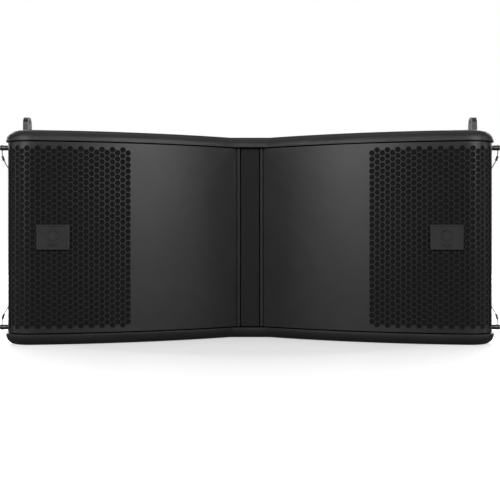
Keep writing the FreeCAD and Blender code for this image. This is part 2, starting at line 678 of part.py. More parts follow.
driver_seats = []
for number in range(8):
    angle = math.radians(45 * number + 22.5)
    reach = size("dims.driver_radius") - 7
    point = driver_place.multVec(Vector(reach * math.cos(angle), reach * math.sin(angle), rim_high))
    driver_seats.append((point, facing))
    driver_seats.append((Vector(-point.x, point.y, point.z), Vector(-facing.x, facing.y, 0)))
keep(screws_at("driver_screw_set", driver_seats, 4.6, 3.6, 2.5, 7.6), "driver_screws")

# Handles in the rear corners.
cup_outer = oblong(cup_long, cup_high, cup_deep, -cup_deep)
cup_inner = oblong(cup_long - 2 * cup_wall, cup_high - 2 * cup_wall, cup_deep, cup_wall - cup_deep)
cup_rim = oblong(cup_long + 2 * cup_lip, cup_high + 2 * cup_lip, 2.5, 0)
cup = cup_outer.fuse(cup_rim).cut(cup_inner).cut(oblong(cup_long - 2 * cup_wall, cup_high - 2 * cup_wall, 10, -2))
left_cup = feature("left_cup", cup.removeSplitter(), cup_place)
keep(group("cups", left_cup, mirrored("right_cup", left_cup)), "handle_cups")
bar_long = cup_high - 2 * cup_wall
grip = Part.makeCylinder(10, bar_long - 0.4, Vector(0, 0.2 - bar_long / 2, -14), Vector(0, 1, 0))
left_bar = feature("left_bar", grip, cup_place)
keep(group("bars", left_bar, mirrored("right_bar", left_bar)), "handle_bars")

# Input plate with two four-pole sockets, and the crossover behind it.
plate_z = plate_mid_z - plate_half_z
plain_plate = box("plain_plate", str(-plate_half_x), BACK_FACE, str(plate_z), str(2 * plate_half_x), "3",
                  str(2 * plate_half_z))
socket_x, socket_radius, socket_deep = 38, 13, 26
socket_drills = [rod(f"socket_drill_{number}", str(x), f"{BACK_FACE} - 5", str(plate_mid_z), str(socket_radius),
                     "12", "y")
                 for number, x in enumerate((-socket_x, socket_x))]
plate_seats = [(Vector(x, size(BACK_FACE) + 3, plate_mid_z + z), Vector(0, 1, 0))
               for x in (-plate_half_x + 8, 0, plate_half_x - 8) for z in (-plate_half_z + 6, plate_half_z - 6)]
plate_holes = feature("plate_holes", Part.makeCompound([
    Part.makeCylinder(2.2, 10, point - Vector(0, 6, 0), direction) for point, direction in plate_seats]))
keep(cut("input_plate_cut", plain_plate, *socket_drills, plate_holes), "input_plate")

back_face = size(BACK_FACE)
sockets = []
for x in (-socket_x, socket_x):
    barrel = Part.makeCylinder(socket_radius - 0.2, socket_deep,
                               Vector(x, back_face - socket_deep + 3, plate_mid_z), Vector(0, 1, 0))
    flange = Part.makeBox(34, 3, 34, Vector(x - 17, back_face + 3, plate_mid_z - 17))
    flange = flange.makeFillet(5, [e for e in flange.Edges if abs(e.tangentAt(e.FirstParameter).y) > 0.9])
    well = Part.makeCylinder(11, 22, Vector(x, back_face - 14, plate_mid_z), Vector(0, 1, 0))
    core = Part.makeCylinder(6, 18, Vector(x, back_face - 15, plate_mid_z), Vector(0, 1, 0))
    sockets.append(barrel.fuse(flange).cut(well).fuse(core).removeSplitter())
keep(feature("socket_pair", Part.makeCompound(sockets)), "connectors")

# The crossover hangs on stand-offs inside the back board, above the input plate.
card_low, card_high, card_half, card_stand = 186, 288, 118, 9
card_face = size(BACK_INNER) - card_stand - 2
keep(box("crossover_card", str(-card_half), f"{BACK_INNER} - {card_stand + 2}", str(card_low), str(2 * card_half),
         "2", str(card_high - card_low)), "crossover_board")
crossover_shapes = []
for x, z, radius in ((-84, 214, 22), (-84, 262, 20), (84, 214, 20)):
    wound = Part.makeCylinder(radius, 16, Vector(x, card_face - 16.1, z), Vector(0, 1, 0))
    hollow = Part.makeCylinder(radius * 0.45, 20, Vector(x, card_face - 18, z), Vector(0, 1, 0))
    crossover_shapes.append(wound.cut(hollow))
for z, radius, length in ((248, 8, 38), (268, 7, 34)):
    can_end = Vector(66, card_face - radius - 0.1, z)
    crossover_shapes.append(Part.makeCylinder(radius, length, can_end, Vector(1, 0, 0)))
for x in (-card_half + 8, card_half - 8):
    for z in (card_low + 8, card_high - 8):
        crossover_shapes.append(Part.makeCylinder(3, card_stand, Vector(x, card_face + 2, z), Vector(0, 1, 0)))
keep(feature("crossover_set", Part.makeCompound(crossover_shapes)), "crossover_parts")

# Side rigging: an outer plate on the side board, and channels inside that guide the links.
RIG_FRONT = "(dims.front + dims.grille_end + 4)"
rig_plain = box("rig_plain", f"-{SIDE_OUT} - dims.rig_plate", RIG_FRONT, "dims.board + 1.5", "dims.rig_plate", "66",
                f"{INNER_HEIGHT} - 3")
rig_seats = []
rig_face = size(SIDE_OUT) + size("dims.rig_plate")
for sign in (-1, 1):
    for z in (70, 130, 222, 282):
        for y in (size(RIG_FRONT) + 8, size(RIG_FRONT) + 58):
            rig_seats.append((Vector(sign * rig_face, y, z), Vector(sign, 0, 0)))
rig_holes = feature("rig_holes", Part.makeCompound([
    Part.makeCylinder(3.1, 6, point - direction * 5, direction) for point, direction in rig_seats]))
ANCHOR_LONG = "4.5"
ANCHOR_HIGH = f"({PIN_HIGH} - 40)"
ANCHOR_Y = f"({PIN_Y} + 33)"
anchors = [rod("low_anchor", f"-{SIDE_OUT} - dims.rig_plate - {ANCHOR_LONG}", ANCHOR_Y, f"{PIN_LOW} + 40", "2.6",
               f"{ANCHOR_LONG} + 2", "x"),
           rod("high_anchor", f"-{SIDE_OUT} - dims.rig_plate - {ANCHOR_LONG}", ANCHOR_Y, ANCHOR_HIGH, "2.6",
               f"{ANCHOR_LONG} + 2", "x")]
rig_drilled = cut("rig_drilled", rig_plain, rig_holes, *pin_drills)
rig_left = join("rig_left", rig_drilled, *anchors)
keep(group("rig_pair", rig_left, mirrored("rig_right", rig_left)), "rig_plates")
guide_x = "-dims.link_outer - 0.9"
channels = []
for name, low, high in (("lower", "dims.board + 0.5", "dims.board + 70"),
                        ("upper", f"{INNER_TOP} - 96", f"{INNER_TOP} - 0.5")):
    outer = box(name + "_channel", guide_x, f"{LINK_FRONT} - 4", low, "dims.link_thick + 5", "dims.link_wide + 8",
                f"{high} - ({low})")
    hollow = box(name + "_channel_hollow", f"{guide_x} - 1", f"{LINK_FRONT} - 0.6", f"{low} - 1",
                 "dims.link_thick + 2.9", "dims.link_wide + 1.2", f"{high} - ({low}) + 2")
    channels.append(cut(name + "_channel_cut", outer, hollow, *pin_drills))
left_channels = group("left_channels", *channels)
keep(group("channel_set", *channels, mirrored("right_channels", left_channels)), "link_guides")
keep(screws_at("rig_screw_set", rig_seats, 5.2, 3, 3, 3.9), "rig_screws")

# Front links: a bar with an eye at the top and a slot that rides over the upper pin.
link_half = size("dims.link_wide") / 2
link_top = height + size("dims.link_rise")
link_low = link_top - size("dims.link_length")
pin_y = size(PIN_Y)
eye_z = height + size("dims.pin_height")
pin_hole = size(PIN_HOLE)
upper_pin_z = size(PIN_HIGH)
link_x = -size("dims.link_outer")
bar_face = Part.makeBox(size("dims.link_thick"), 2 * link_half, link_top - link_low,
                        Vector(link_x, pin_y - link_half, link_low))
round_ends = [edge for edge in bar_face.Edges
              if abs(edge.tangentAt(edge.FirstParameter).x) > 0.9 and edge.BoundBox.ZMin > link_top - 1]
bar_face = bar_face.makeFillet(link_half - 4, round_ends)
eye = Part.makeCylinder(pin_hole, 30, Vector(link_x - 5, pin_y, eye_z), Vector(1, 0, 0))
slot_travel = size("dims.link_travel")
slot_ends = [Part.makeCylinder(pin_hole, 30, Vector(link_x - 5, pin_y, z), Vector(1, 0, 0))
             for z in (upper_pin_z, upper_pin_z + slot_travel)]
slot_middle = Part.makeBox(30, 2 * pin_hole, slot_travel, Vector(link_x - 5, pin_y - pin_hole, upper_pin_z))
left_link = feature("left_link", bar_face.cut([eye, slot_middle] + slot_ends).removeSplitter())
keep(left_link, "left_front_link")
keep(mirrored("right_link", left_link), "right_front_link")

# Quick-release pins: a shaft, a wider head, and a push button in the head's end that frees the locking balls.
PIN_HEAD, BUTTON_RADIUS, BUTTON_REACH, BUTTON_INSIDE, BUTTON_ROOM = 4.4, 2.4, 2, 6, 2.6


def pin_shapes(tip, shoulder, end, y, z, away):
    """Pin and button along X, with the head on the side that away (-1 or 1) points to."""
    direction = Vector(away, 0, 0)
    radius = size("dims.pin_radius")
    shaft = Part.makeCylinder(radius, abs(shoulder - tip) + 1, Vector(tip, y, z), direction)
    shaft = shaft.makeChamfer(0.8, [edge for edge in shaft.Edges if abs(edge.BoundBox.Center.x - tip) < 0.01])
    head = Part.makeCylinder(PIN_HEAD, abs(end - shoulder), Vector(shoulder, y, z), direction)
    head = head.makeChamfer(0.8, [edge for edge in head.Edges if abs(edge.BoundBox.Center.x - end) < 0.01])
    depth = BUTTON_INSIDE + BUTTON_ROOM
    bore = Part.makeCylinder(BUTTON_RADIUS + 0.2, depth, Vector(end - away * depth, y, z), direction)
    grooves = []
    for step in (4, 8, 12):
        ring_x = shoulder + away * step
        ring = Part.makeCylinder(PIN_HEAD + 1, 1.6, Vector(ring_x, y, z), direction)
        grooves.append(ring.cut(Part.makeCylinder(PIN_HEAD - 0.5, 1.6, Vector(ring_x, y, z), direction)))
    body = shaft.fuse(head).cut([bore] + grooves).removeSplitter()
    button = Part.makeCylinder(BUTTON_RADIUS, BUTTON_INSIDE + BUTTON_REACH,
                               Vector(end - away * BUTTON_INSIDE, y, z), direction)
    button_tip = end + away * BUTTON_REACH
    button = button.makeFillet(0.8, [e for e in button.Edges if abs(e.BoundBox.Center.x - button_tip) < 0.01])
    return body, button


def cord_tube(route, diameter):
    """Tube along straight runs joined by tangent arcs, as large as the runs allow."""
    points = [Vector(*point) for point in route]
    edges = []
    at = points[0]
    radii = []
    for before, corner, after in zip(points, points[1:], points[2:]):
        into = (corner - before).normalize()
        out = (after - corner).normalize()
        half_turn = into.getAngle(out) / 2
        trim = 0.45 * min(before.distanceToPoint(corner), corner.distanceToPoint(after))
        radii.append(trim / math.tan(half_turn))
        start = corner - into * trim
        end = corner + out * trim
        inward = (out - into).normalize()
        centre = corner + inward * (radii[-1] / math.cos(half_turn))
        edges.append(Part.LineSegment(at, start).toShape())
        edges.append(Part.Arc(start, centre - inward * radii[-1], end).toShape())
        at = end
    edges.append(Part.LineSegment(at, points[-1]).toShape())
    path = Part.Wire(edges)
    profile = Part.Wire([Part.makeCircle(diameter / 2, points[0], points[1] - points[0])])
    tube = path.makePipeShell([profile], True, False)
    expected = math.pi * diameter ** 2 / 4 * path.Length
    print("cord length", round(path.Length, 1), "volume ratio", round(tube.Volume / expected, 4),
          "radii", [round(radius, 1) for radius in radii])
    return tube


pin_tip = -size("dims.link_outer") + size("dims.link_thick") + 7
pin_end = -size("dims.pin_end")
shoulder = -size("dims.half_width") - 0.3
lanyard = 1.6
high_z = size(PIN_HIGH)
high_pin, high_button = pin_shapes(pin_tip, shoulder, pin_end, pin_y, high_z, -1)
anchor_y, anchor_z = size(ANCHOR_Y), size(ANCHOR_HIGH)
anchor_x = -rig_face - float(ANCHOR_LONG)
side_route = [
    (pin_end + 3.5, pin_y, high_z - PIN_HEAD - 0.1),
    (pin_end + 3.5, pin_y, high_z - 13),
    (pin_end + 6, pin_y + 3, high_z - 22),
    (pin_end + 10.5, pin_y + 8, high_z - 31.5),
    (pin_end + 14, pin_y + 16, high_z - 40),
    (pin_end + 14.5, pin_y + 25, high_z - 44.5),
    (anchor_x - 7, anchor_y, anchor_z),
    (anchor_x, anchor_y, anchor_z),
]
high_lanyard = cord_tube(side_route, lanyard)
side_pieces = {"pin": high_pin, "pin_button": high_button, "lanyard": high_lanyard}
for piece_name, shape in side_pieces.items():
    top_left = feature("top_left_" + piece_name, shape)
    keep(top_left, "left_top_" + piece_name)
    keep(mirrored("top_right_" + piece_name, top_left), "right_top_" + piece_name)
    low_left = mirrored("low_left_" + piece_name, top_left, (0, 0, 1), (0, 0, middle))
    keep(low_left, "left_bottom_" + piece_name)
    keep(mirrored("low_right_" + piece_name, low_left), "right_bottom_" + piece_name)

# Rear rigging: a bracket on the back with the splay arm between its ears, and a parked pin.
bracket_half, bracket_low, bracket_high, ear_inner, ear_outer = 40, 165, 300, 5, 11
arm_y, arm_half, arm_long = (back_face + 4 + size("dims.rear_extent") + front) / 2, 12.5, 96
pivot_z = size("dims.arm_pivot_height")
pivot_radius = 5
ear_back = size("dims.rear_extent") + front
bracket = Part.makeBox(2 * bracket_half, 4, bracket_high - bracket_low,
                       Vector(-bracket_half, back_face, bracket_low))
bracket = bracket.makeFillet(6, [e for e in bracket.Edges if abs(e.tangentAt(e.FirstParameter).y) > 0.9])
ear_points = [(back_face + 3, 225), (back_face + 12, 225), (ear_back - 4, 250), (ear_back, 256), (ear_back, 280),
              (ear_back - 5, 285), (back_face + 12, 296), (back_face + 3, 296)]
for low_x in (-ear_outer, ear_inner):
    corners = [Vector(low_x, y, z) for y, z in ear_points]
    ear = Part.Face(Part.makePolygon(corners + corners[:1])).extrude(Vector(ear_outer - ear_inner, 0, 0))
    bracket = bracket.fuse(ear)
lug_low, lug_high, lug_y, lug_z = 22, 32, back_face + 13, 200
lug = Part.makeBox(lug_high - lug_low, 20, 18, Vector(lug_low, back_face + 3, lug_z - 9))
rear_anchor_x = 30
rear_anchor = Part.makeCylinder(2.6, 5, Vector(rear_anchor_x, back_face + 3, 244), Vector(0, 1, 0))
pivot_hole = Part.makeCylinder(pivot_radius + 0.1, 60, Vector(-30, arm_y, pivot_z), Vector(1, 0, 0))
lug_hole = Part.makeCylinder(pin_hole, 30, Vector(lug_low - 5, lug_y, lug_z), Vector(1, 0, 0))
bracket_seats = [(Vector(x, back_face + 4, z), Vector(0, 1, 0)) for x in (-31, 31) for z in (175, 288)]
bracket_holes = [Part.makeCylinder(3.1, 10, point - Vector(0, 6, 0), Vector(0, 1, 0))
                 for point, _ in bracket_seats]
bracket = bracket.fuse([lug, rear_anchor]).cut([pivot_hole, lug_hole] + bracket_holes).removeSplitter()
keep(feature("bracket", bracket), "rear_bracket")
keep(screws_at("rear_screw_set", plate_seats + bracket_seats, 3.6, 2, 2, 2.9), "rear_screws")

arm_low = pivot_z - arm_long
arm = Part.makeBox(size("dims.arm_thick"), 2 * arm_half, arm_long + arm_half,
                   Vector(-size("dims.arm_thick") / 2, arm_y - arm_half, arm_low))
arm = arm.makeFillet(arm_half - 0.5, [e for e in arm.Edges if abs(e.tangentAt(e.FirstParameter).x) > 0.9])
arm_eye_z = arm_low + 14
arm_eye = Part.makeCylinder(pin_hole, 30, Vector(-15, arm_y, arm_eye_z), Vector(1, 0, 0))
keep(feature("arm", arm.cut([pivot_hole, arm_eye])), "splay_arm")
bolt = Part.makeCylinder(pivot_radius, 2 * ear_outer + 2, Vector(-ear_outer - 1, arm_y, pivot_z), Vector(1, 0, 0))
for low_x in (-ear_outer - 5.1, ear_outer + 0.1):
    corners = [math.radians(60 * i) for i in range(7)]
    hexagon = [Vector(low_x, arm_y + 9 * math.cos(angle), pivot_z + 9 * math.sin(angle)) for angle in corners]
    bolt = bolt.fuse(Part.Face(Part.makePolygon(hexagon)).extrude(Vector(5, 0, 0)))
keep(feature("pivot_bolt", bolt.removeSplitter()), "splay_pivot_bolt")

rear_tip, rear_shoulder, rear_end = 16, lug_high + 0.3, 54
rear_pin, rear_button = pin_shapes(rear_tip, rear_shoulder, rear_end, lug_y, lug_z, 1)
rear_route = [
    (rear_end - 3.5, lug_y, lug_z + PIN_HEAD + 0.1),
    (rear_end - 3.5, lug_y, lug_z + 13),
    (rear_end - 4.5, lug_y + 2, lug_z + 23),
    (rear_end - 9, lug_y + 6, lug_z + 32),
    (rear_end - 14, lug_y + 8.5, lug_z + 39),
    (rear_end - 21, lug_y + 7.5, lug_z + 44),
    (rear_anchor_x, back_face + 15, 244),
    (rear_anchor_x, back_face + 8, 244),
]
keep(feature("rear_pin_body", rear_pin), "rear_pin")
keep(feature("rear_button_body", rear_button), "rear_pin_button")
keep(feature("rear_cord", cord_tube(rear_route, lanyard)), "rear_lanyard")

# Every object has to be sound before anything is written.
doc.recompute()
for item in doc.Objects:
    if "Invalid" in item.State or "Error" in item.State:
        raise RuntimeError(f"{item.Label} failed to compute")
os.makedirs("parts", exist_ok=True)
labels = [node.Label for node in nodes]
if len(set(labels)) != len(labels):
    raise RuntimeError("two sub-parts share a name")
for node in nodes:
    shape = node.Shape
    if shape.isNull() or not shape.isValid() or not shape.Solids:
        raise RuntimeError(f"{node.Label} is not a sound solid")
    shape.exportStep(f"parts/{node.Label}.step")
print(len(nodes), "sub-parts written")
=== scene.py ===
import math

import bmesh
import bpy
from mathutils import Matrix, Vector
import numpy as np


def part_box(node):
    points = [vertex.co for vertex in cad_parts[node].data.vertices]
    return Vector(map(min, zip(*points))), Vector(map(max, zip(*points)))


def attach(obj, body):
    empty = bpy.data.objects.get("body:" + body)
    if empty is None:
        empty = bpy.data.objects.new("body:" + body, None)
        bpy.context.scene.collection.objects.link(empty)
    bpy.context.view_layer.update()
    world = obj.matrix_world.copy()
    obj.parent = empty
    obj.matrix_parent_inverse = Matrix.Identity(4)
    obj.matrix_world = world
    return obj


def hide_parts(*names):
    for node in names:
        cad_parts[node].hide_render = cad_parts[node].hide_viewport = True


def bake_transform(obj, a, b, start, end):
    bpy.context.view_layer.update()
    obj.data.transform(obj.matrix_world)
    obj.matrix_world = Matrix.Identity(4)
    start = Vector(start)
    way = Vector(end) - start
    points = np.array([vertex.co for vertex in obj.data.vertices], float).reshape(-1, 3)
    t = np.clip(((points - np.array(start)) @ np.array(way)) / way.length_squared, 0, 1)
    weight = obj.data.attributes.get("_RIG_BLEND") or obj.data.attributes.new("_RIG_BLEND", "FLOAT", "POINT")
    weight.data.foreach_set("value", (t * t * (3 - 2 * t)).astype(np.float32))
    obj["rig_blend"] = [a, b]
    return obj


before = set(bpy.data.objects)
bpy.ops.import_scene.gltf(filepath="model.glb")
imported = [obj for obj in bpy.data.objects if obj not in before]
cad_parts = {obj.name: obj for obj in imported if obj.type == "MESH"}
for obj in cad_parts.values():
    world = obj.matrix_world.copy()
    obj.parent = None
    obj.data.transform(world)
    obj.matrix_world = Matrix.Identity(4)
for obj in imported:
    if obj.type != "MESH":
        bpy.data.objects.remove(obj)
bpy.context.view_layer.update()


# cabinet sizes that the visual pieces follow, in metres
cabinet = {
    "halfWidth": 0.405,
    "height": 0.352,
    "cornerRadius": 0.045,
    "flareRadius": 0.717,
    "flareX": -0.448,
    "grilleInset": 0.0033,
    "sheet": 0.0015,
}
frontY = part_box("top_panel")[0][1]
middleZ = cabinet["height"] / 2
cornerCentre = Vector((cabinet["cornerRadius"] - cabinet["halfWidth"], frontY + cabinet["cornerRadius"]))
cornerToFlare = cabinet["flareRadius"] - cabinet["cornerRadius"]
flareCentre = Vector((cabinet["flareX"], cornerCentre.y + math.sqrt(
    cornerToFlare ** 2 - (cornerCentre.x - cabinet["flareX"]) ** 2)))


def clearStart():
    for name in ("Cube", "Light", "Camera"):
        if name in bpy.data.objects:
            bpy.data.objects.remove(bpy.data.objects[name], do_unlink=True)


def addNode(tree, kind, x=0, y=0, **settings):
    node = tree.nodes.new(kind)
    node.location = (x, y)
    for key, value in settings.items():
        setattr(node, key, value)
    return node


def setInputs(node, values):
    for key, value in values.items():
        node.inputs[key].default_value = value


def ramp(tree, stops, x=0, y=0):
    node = addNode(tree, "ShaderNodeValToRGB", x, y)
    while len(node.color_ramp.elements) > len(stops):
        node.color_ramp.elements.remove(node.color_ramp.elements[-1])
    while len(node.color_ramp.elements) < len(stops):
        node.color_ramp.elements.new(1.0)
    for element, (place, colour) in zip(node.color_ramp.elements, stops):
        element.position = place
        element.color = (*colour, 1.0)
    return node


def noise(tree, coords, scale, detail=4.0, rough=0.55, x=0, y=0):
    node = addNode(tree, "ShaderNodeTexNoise", x, y)
    setInputs(node, {"Scale": scale, "Detail": detail, "Roughness": rough})
    tree.links.new(coords, node.inputs["Vector"])
    return node


def finish(name, look):
    # mottled colour, uneven gloss, a fine grain in the bump, and pale wear on sharp edges
    mat = bpy.data.materials.new(name)
    mat.use_nodes = True
    tree = mat.node_tree
    shader = tree.nodes["Principled BSDF"]
    coords = addNode(tree, "ShaderNodeTexCoord", -1200, 0).outputs["Object"]
    mottle = noise(tree, coords, look["mottleScale"], 5.0, 0.6, -900, 300)
    colours = ramp(tree, [(0.3, look["dark"]), (0.7, look["light"])], -650, 300)
    tree.links.new(mottle.outputs["Fac"], colours.inputs["Fac"])
    colour = colours.outputs["Color"]
    if look.get("wear", 0):
        geometry = addNode(tree, "ShaderNodeNewGeometry", -1200, 600)
        edge = addNode(tree, "ShaderNodeMapRange", -900, 600)
        setInputs(edge, {"From Min": 0.53, "From Max": 0.62})
        tree.links.new(geometry.outputs["Pointiness"], edge.inputs["Value"])
        breakUp = noise(tree, coords, look["mottleScale"] * 9, 6.0, 0.7, -900, 800)
        share = addNode(tree, "ShaderNodeMath", -650, 600, operation="MULTIPLY")
        tree.links.new(edge.outputs["Result"], share.inputs[0])
        tree.links.new(breakUp.outputs["Fac"], share.inputs[1])
        amount = addNode(tree, "ShaderNodeMath", -450, 600, operation="MULTIPLY", use_clamp=True)
        amount.inputs[1].default_value = look["wear"]
        tree.links.new(share.outputs[0], amount.inputs[0])
        worn = addNode(tree, "ShaderNodeMix", -250, 450, data_type="RGBA")
        worn.inputs["B"].default_value = (*look["worn"], 1.0)
        tree.links.new(amount.outputs[0], worn.inputs["Factor"])
        tree.links.new(colour, worn.inputs["A"])
        colour = worn.outputs["Result"]
    tree.links.new(colour, shader.inputs["Base Color"])
    gloss = noise(tree, coords, look["mottleScale"] * 4, 3.0, 0.5, -900, 0)
    glossRange = addNode(tree, "ShaderNodeMapRange", -650, 0)
    setInputs(glossRange, {"To Min": look["rough"] - look["roughSpread"],
                           "To Max": look["rough"] + look["roughSpread"]})
    tree.links.new(gloss.outputs["Fac"], glossRange.inputs["Value"])
    tree.links.new(glossRange.outputs["Result"], shader.inputs["Roughness"])
    grain = noise(tree, coords, look["grainScale"], look.get("grainDetail", 3.0), 0.6, -900, -300)
    height = grain.outputs["Fac"]
    if look.get("weave"):
        waves = []
        for direction in ("X", "Z"):
            wave = addNode(tree, "ShaderNodeTexWave", -900, -600, wave_type="BANDS",
                           bands_direction=direction)
            setInputs(wave, {"Scale": look["weave"], "Distortion": 0.4})
            tree.links.new(coords, wave.inputs["Vector"])
            waves.append(wave)
        crossed = addNode(tree, "ShaderNodeMath", -650, -600, operation="MAXIMUM")
        for place, wave in enumerate(waves):
            tree.links.new(wave.outputs["Fac"], crossed.inputs[place])
        both = addNode(tree, "ShaderNodeMath", -450, -500, operation="ADD")
        tree.links.new(crossed.outputs[0], both.inputs[0])
        tree.links.new(height, both.inputs[1])
        height = both.outputs[0]
    bump = addNode(tree, "ShaderNodeBump", -250, -300)
    setInputs(bump, {"Strength": look["grain"], "Distance": look["grainDepth"]})
    tree.links.new(height, bump.inputs["Height"])
    tree.links.new(bump.outputs["Normal"], shader.inputs["Normal"])
    setInputs(shader, {"Metallic": look.get("metal", 0.0), "Specular IOR Level": look.get("specular", 0.5),
                       "Coat Weight": look.get("coat", 0.0), "Coat Roughness": 0.3,
                       "Sheen Weight": look.get("sheen", 0.0)})
    return mat


def meshPiece(name, points, faces, mat, sharp=35):
    # joins doubled points, turns all faces outwards and keeps edges over the sharp angle crisp
    mesh = bpy.data.meshes.new(name)
    mesh.from_pydata([tuple(p) for p in points], [], faces)
    mesh.validate()
    work = bmesh.new()
    work.from_mesh(mesh)
    bmesh.ops.remove_doubles(work, verts=work.verts, dist=1e-6)
    bmesh.ops.recalc_face_normals(work, faces=work.faces)
    work.to_mesh(mesh)
    work.free()
    mesh.materials.append(mat)
    mesh.shade_smooth()
    mesh.set_sharp_from_angle(angle=math.radians(sharp))
    piece = bpy.data.objects.new(name, mesh)
    bpy.context.scene.collection.objects.link(piece)
    return piece


def mirrorX(points):
    return [Vector((-p[0], p[1], p[2])) for p in points]


def easeInOut(share):
    share = min(1.0, max(0.0, share))
    return share * share * (3 - 2 * share)


def lathe(profile, steps):
    # closed (radius, height) profile turned about Z
    points = []
    faces = []
    count = len(profile)
    for step in range(steps):
        angle = 2 * math.pi * step / steps
        for radius, high in profile:
            points.append(Vector((radius * math.cos(angle), radius * math.sin(angle), high)))
    for step in range(steps):
        here, after = step * count, (step + 1) % steps * count
        for row in range(count):
            nextRow = (row + 1) % count
            faces.append((here + row, after + row, after + nextRow, here + nextRow))
    return points, faces


def assign(mat, *nodes):
    for node in nodes:
        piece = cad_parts[node]
        piece.data.materials.clear()
        piece.data.materials.append(mat)


def placeAt(points, origin, xAxis, yAxis, zAxis):
    return [Vector(origin) + xAxis * p[0] + yAxis * p[1] + zAxis * p[2] for p in points]


clearStart()

# camera, floor and light
studio = {
    "distance": 1.615,         # from the cabinet's front-most plane
    "lens": 71.75,
    "shift": -0.0252,
    "floorSize": 40.0,
    # floor's glow near the cabinet and far away; the low near value is painted shade, a contact shadow
    # painted under the cabinet
    "floorGlowWithPaintedShade": (0.45, 1.0),
    "paintedShadeReach": (0.35, 2.6),  # metres from the middle of the floor
    "floorCurve": 0.5,
    "worldLight": 0.07,
    # softboxes: power, size, place and target; the last three stand on both sides
    "overheadBox": (5.5, (2.6, 0.6), (0.0, 0.2, 2.2), (0.0, 0.0, 0.3)),
    "keyBox": (39.0, (1.3, 1.1), (1.6, -2.4, 1.2), (-0.1, -0.1, 0.2)),
    "sideBox": (5.0, (0.3, 1.4), (2.4, -0.6, 0.5), (0.4, -0.1, 0.2)),
    "rearBox": (55.0, (1.6, 1.2), (1.7, 2.6, 1.3), (0.0, 0.1, 0.2)),
}


def addCamera():
    data = bpy.data.cameras.new("frontCamera")
    data.lens = studio["lens"]
    data.sensor_width = 36
    data.shift_y = studio["shift"]
    data.clip_start = 0.05
    camera = bpy.data.objects.new("frontCamera", data)
    camera.location = (0, frontY - studio["distance"], middleZ)
    camera.rotation_euler = (math.radians(90), 0, 0)
    bpy.context.scene.collection.objects.link(camera)
    bpy.context.scene.camera = camera


def addSoftbox(name, side=1):
    power, size, place, target = studio[name]
    place = Vector((side * place[0], *place[1:]))
    target = Vector((side * target[0], *target[1:]))
    data = bpy.data.lights.new(name, "AREA")
    data.shape = "RECTANGLE"
    data.size, data.size_y = size
    data.energy = power
    lamp = bpy.data.objects.new(name, data)
    lamp.location = place
    lamp.rotation_euler = (target - place).to_track_quat("-Z", "Y").to_euler()
    bpy.context.scene.collection.objects.link(lamp)


def addFloor():
    size = studio["floorSize"]
    mesh = bpy.data.meshes.new("studioFloor")
    corners = [(-size, -size, 0), (size, -size, 0), (size, size, 0), (-size, size, 0)]
    mesh.from_pydata(corners, [], [(0, 1, 2, 3)])
    floor = bpy.data.objects.new("studioFloor", mesh)
    bpy.context.scene.collection.objects.link(floor)
    mat = bpy.data.materials.new("paleFloor")
    mat.use_nodes = True
    tree = mat.node_tree
    shader = tree.nodes["Principled BSDF"]
    setInputs(shader, {"Base Color": (0.8, 0.8, 0.8, 1), "Roughness": 0.3, "Specular IOR Level": 0.3,
                       "Emission Color": (1, 1, 1, 1)})
    # the floor glows more with distance, so that it meets the background without a band; the dimmer glow
    # close to the cabinet is painted shade standing in for its contact shadow
    coords = addNode(tree, "ShaderNodeTexCoord", -900, 0).outputs["Object"]
    away = addNode(tree, "ShaderNodeVectorMath", -650, 0, operation="LENGTH")
    tree.links.new(coords, away.inputs[0])
    share = addNode(tree, "ShaderNodeMapRange", -500, 0)
    setInputs(share, {"From Min": studio["paintedShadeReach"][0], "From Max": studio["paintedShadeReach"][1]})
    curve = addNode(tree, "ShaderNodeMath", -350, 0, operation="POWER")
    curve.inputs[1].default_value = studio["floorCurve"]
    # painted shade: the floor's glow is lowest close to the cabinet, where its contact shadow would fall
    glowWithPaintedShade = addNode(tree, "ShaderNodeMapRange", -200, 0)
    setInputs(glowWithPaintedShade, {"To Min": studio["floorGlowWithPaintedShade"][0], "To Max": studio["floorGlowWithPaintedShade"][1]})
    tree.links.new(away.outputs["Value"], share.inputs["Value"])
    tree.links.new(share.outputs["Result"], curve.inputs[0])
    tree.links.new(curve.outputs["Value"], glowWithPaintedShade.inputs["Value"])
    tree.links.new(glowWithPaintedShade.outputs["Result"], shader.inputs["Emission Strength"])
    mesh.materials.append(mat)
    floor.visible_diffuse = False    # the white floor doesn't light the underside
    floor.visible_glossy = False


def addLight():
    scene = bpy.context.scene
    scene.view_settings.view_transform = "Standard"
    world = bpy.data.worlds.new("studioWorld")
    scene.world = world
    world.use_nodes = True
    tree = world.node_tree
    background = tree.nodes["Background"]
    background.inputs["Color"].default_value = (1, 1, 1, 1)
    rays = addNode(tree, "ShaderNodeLightPath", -600, 0)
    strength = addNode(tree, "ShaderNodeMapRange", -300, 0)
    setInputs(strength, {"To Min": studio["worldLight"], "To Max": 1.0})
    tree.links.new(rays.outputs["Is Camera Ray"], strength.inputs["Value"])
    tree.links.new(strength.outputs["Result"], background.inputs["Strength"])
    addSoftbox("overheadBox")
    for side in (-1, 1):
        for name in ("keyBox", "sideBox", "rearBox"):
            addSoftbox(name, side)


addCamera()
addFloor()
addLight()
print("camera, floor and light are set")


# grilles: one curved sheet each side, punched with a hexagonal pattern from the side to the smooth flare
grille = {
    "sideEnd": 0.078,        # where the sheet stops on the side, behind the front plane
    "holeWide": 0.0088,      # across flats
    "pitch": 0.010,
    "firstColumn": -8,
    "lastColumn": 19,
    "lastColumnX": -0.2026,
    "holesEven": 30,         # holes in the even columns; the odd ones have one less
    "innerX": -0.0236,
    "lip": 0.012,
    "margin": 0.001,         # from the last cells to the first plain row
    "flareSteps": 34,
}


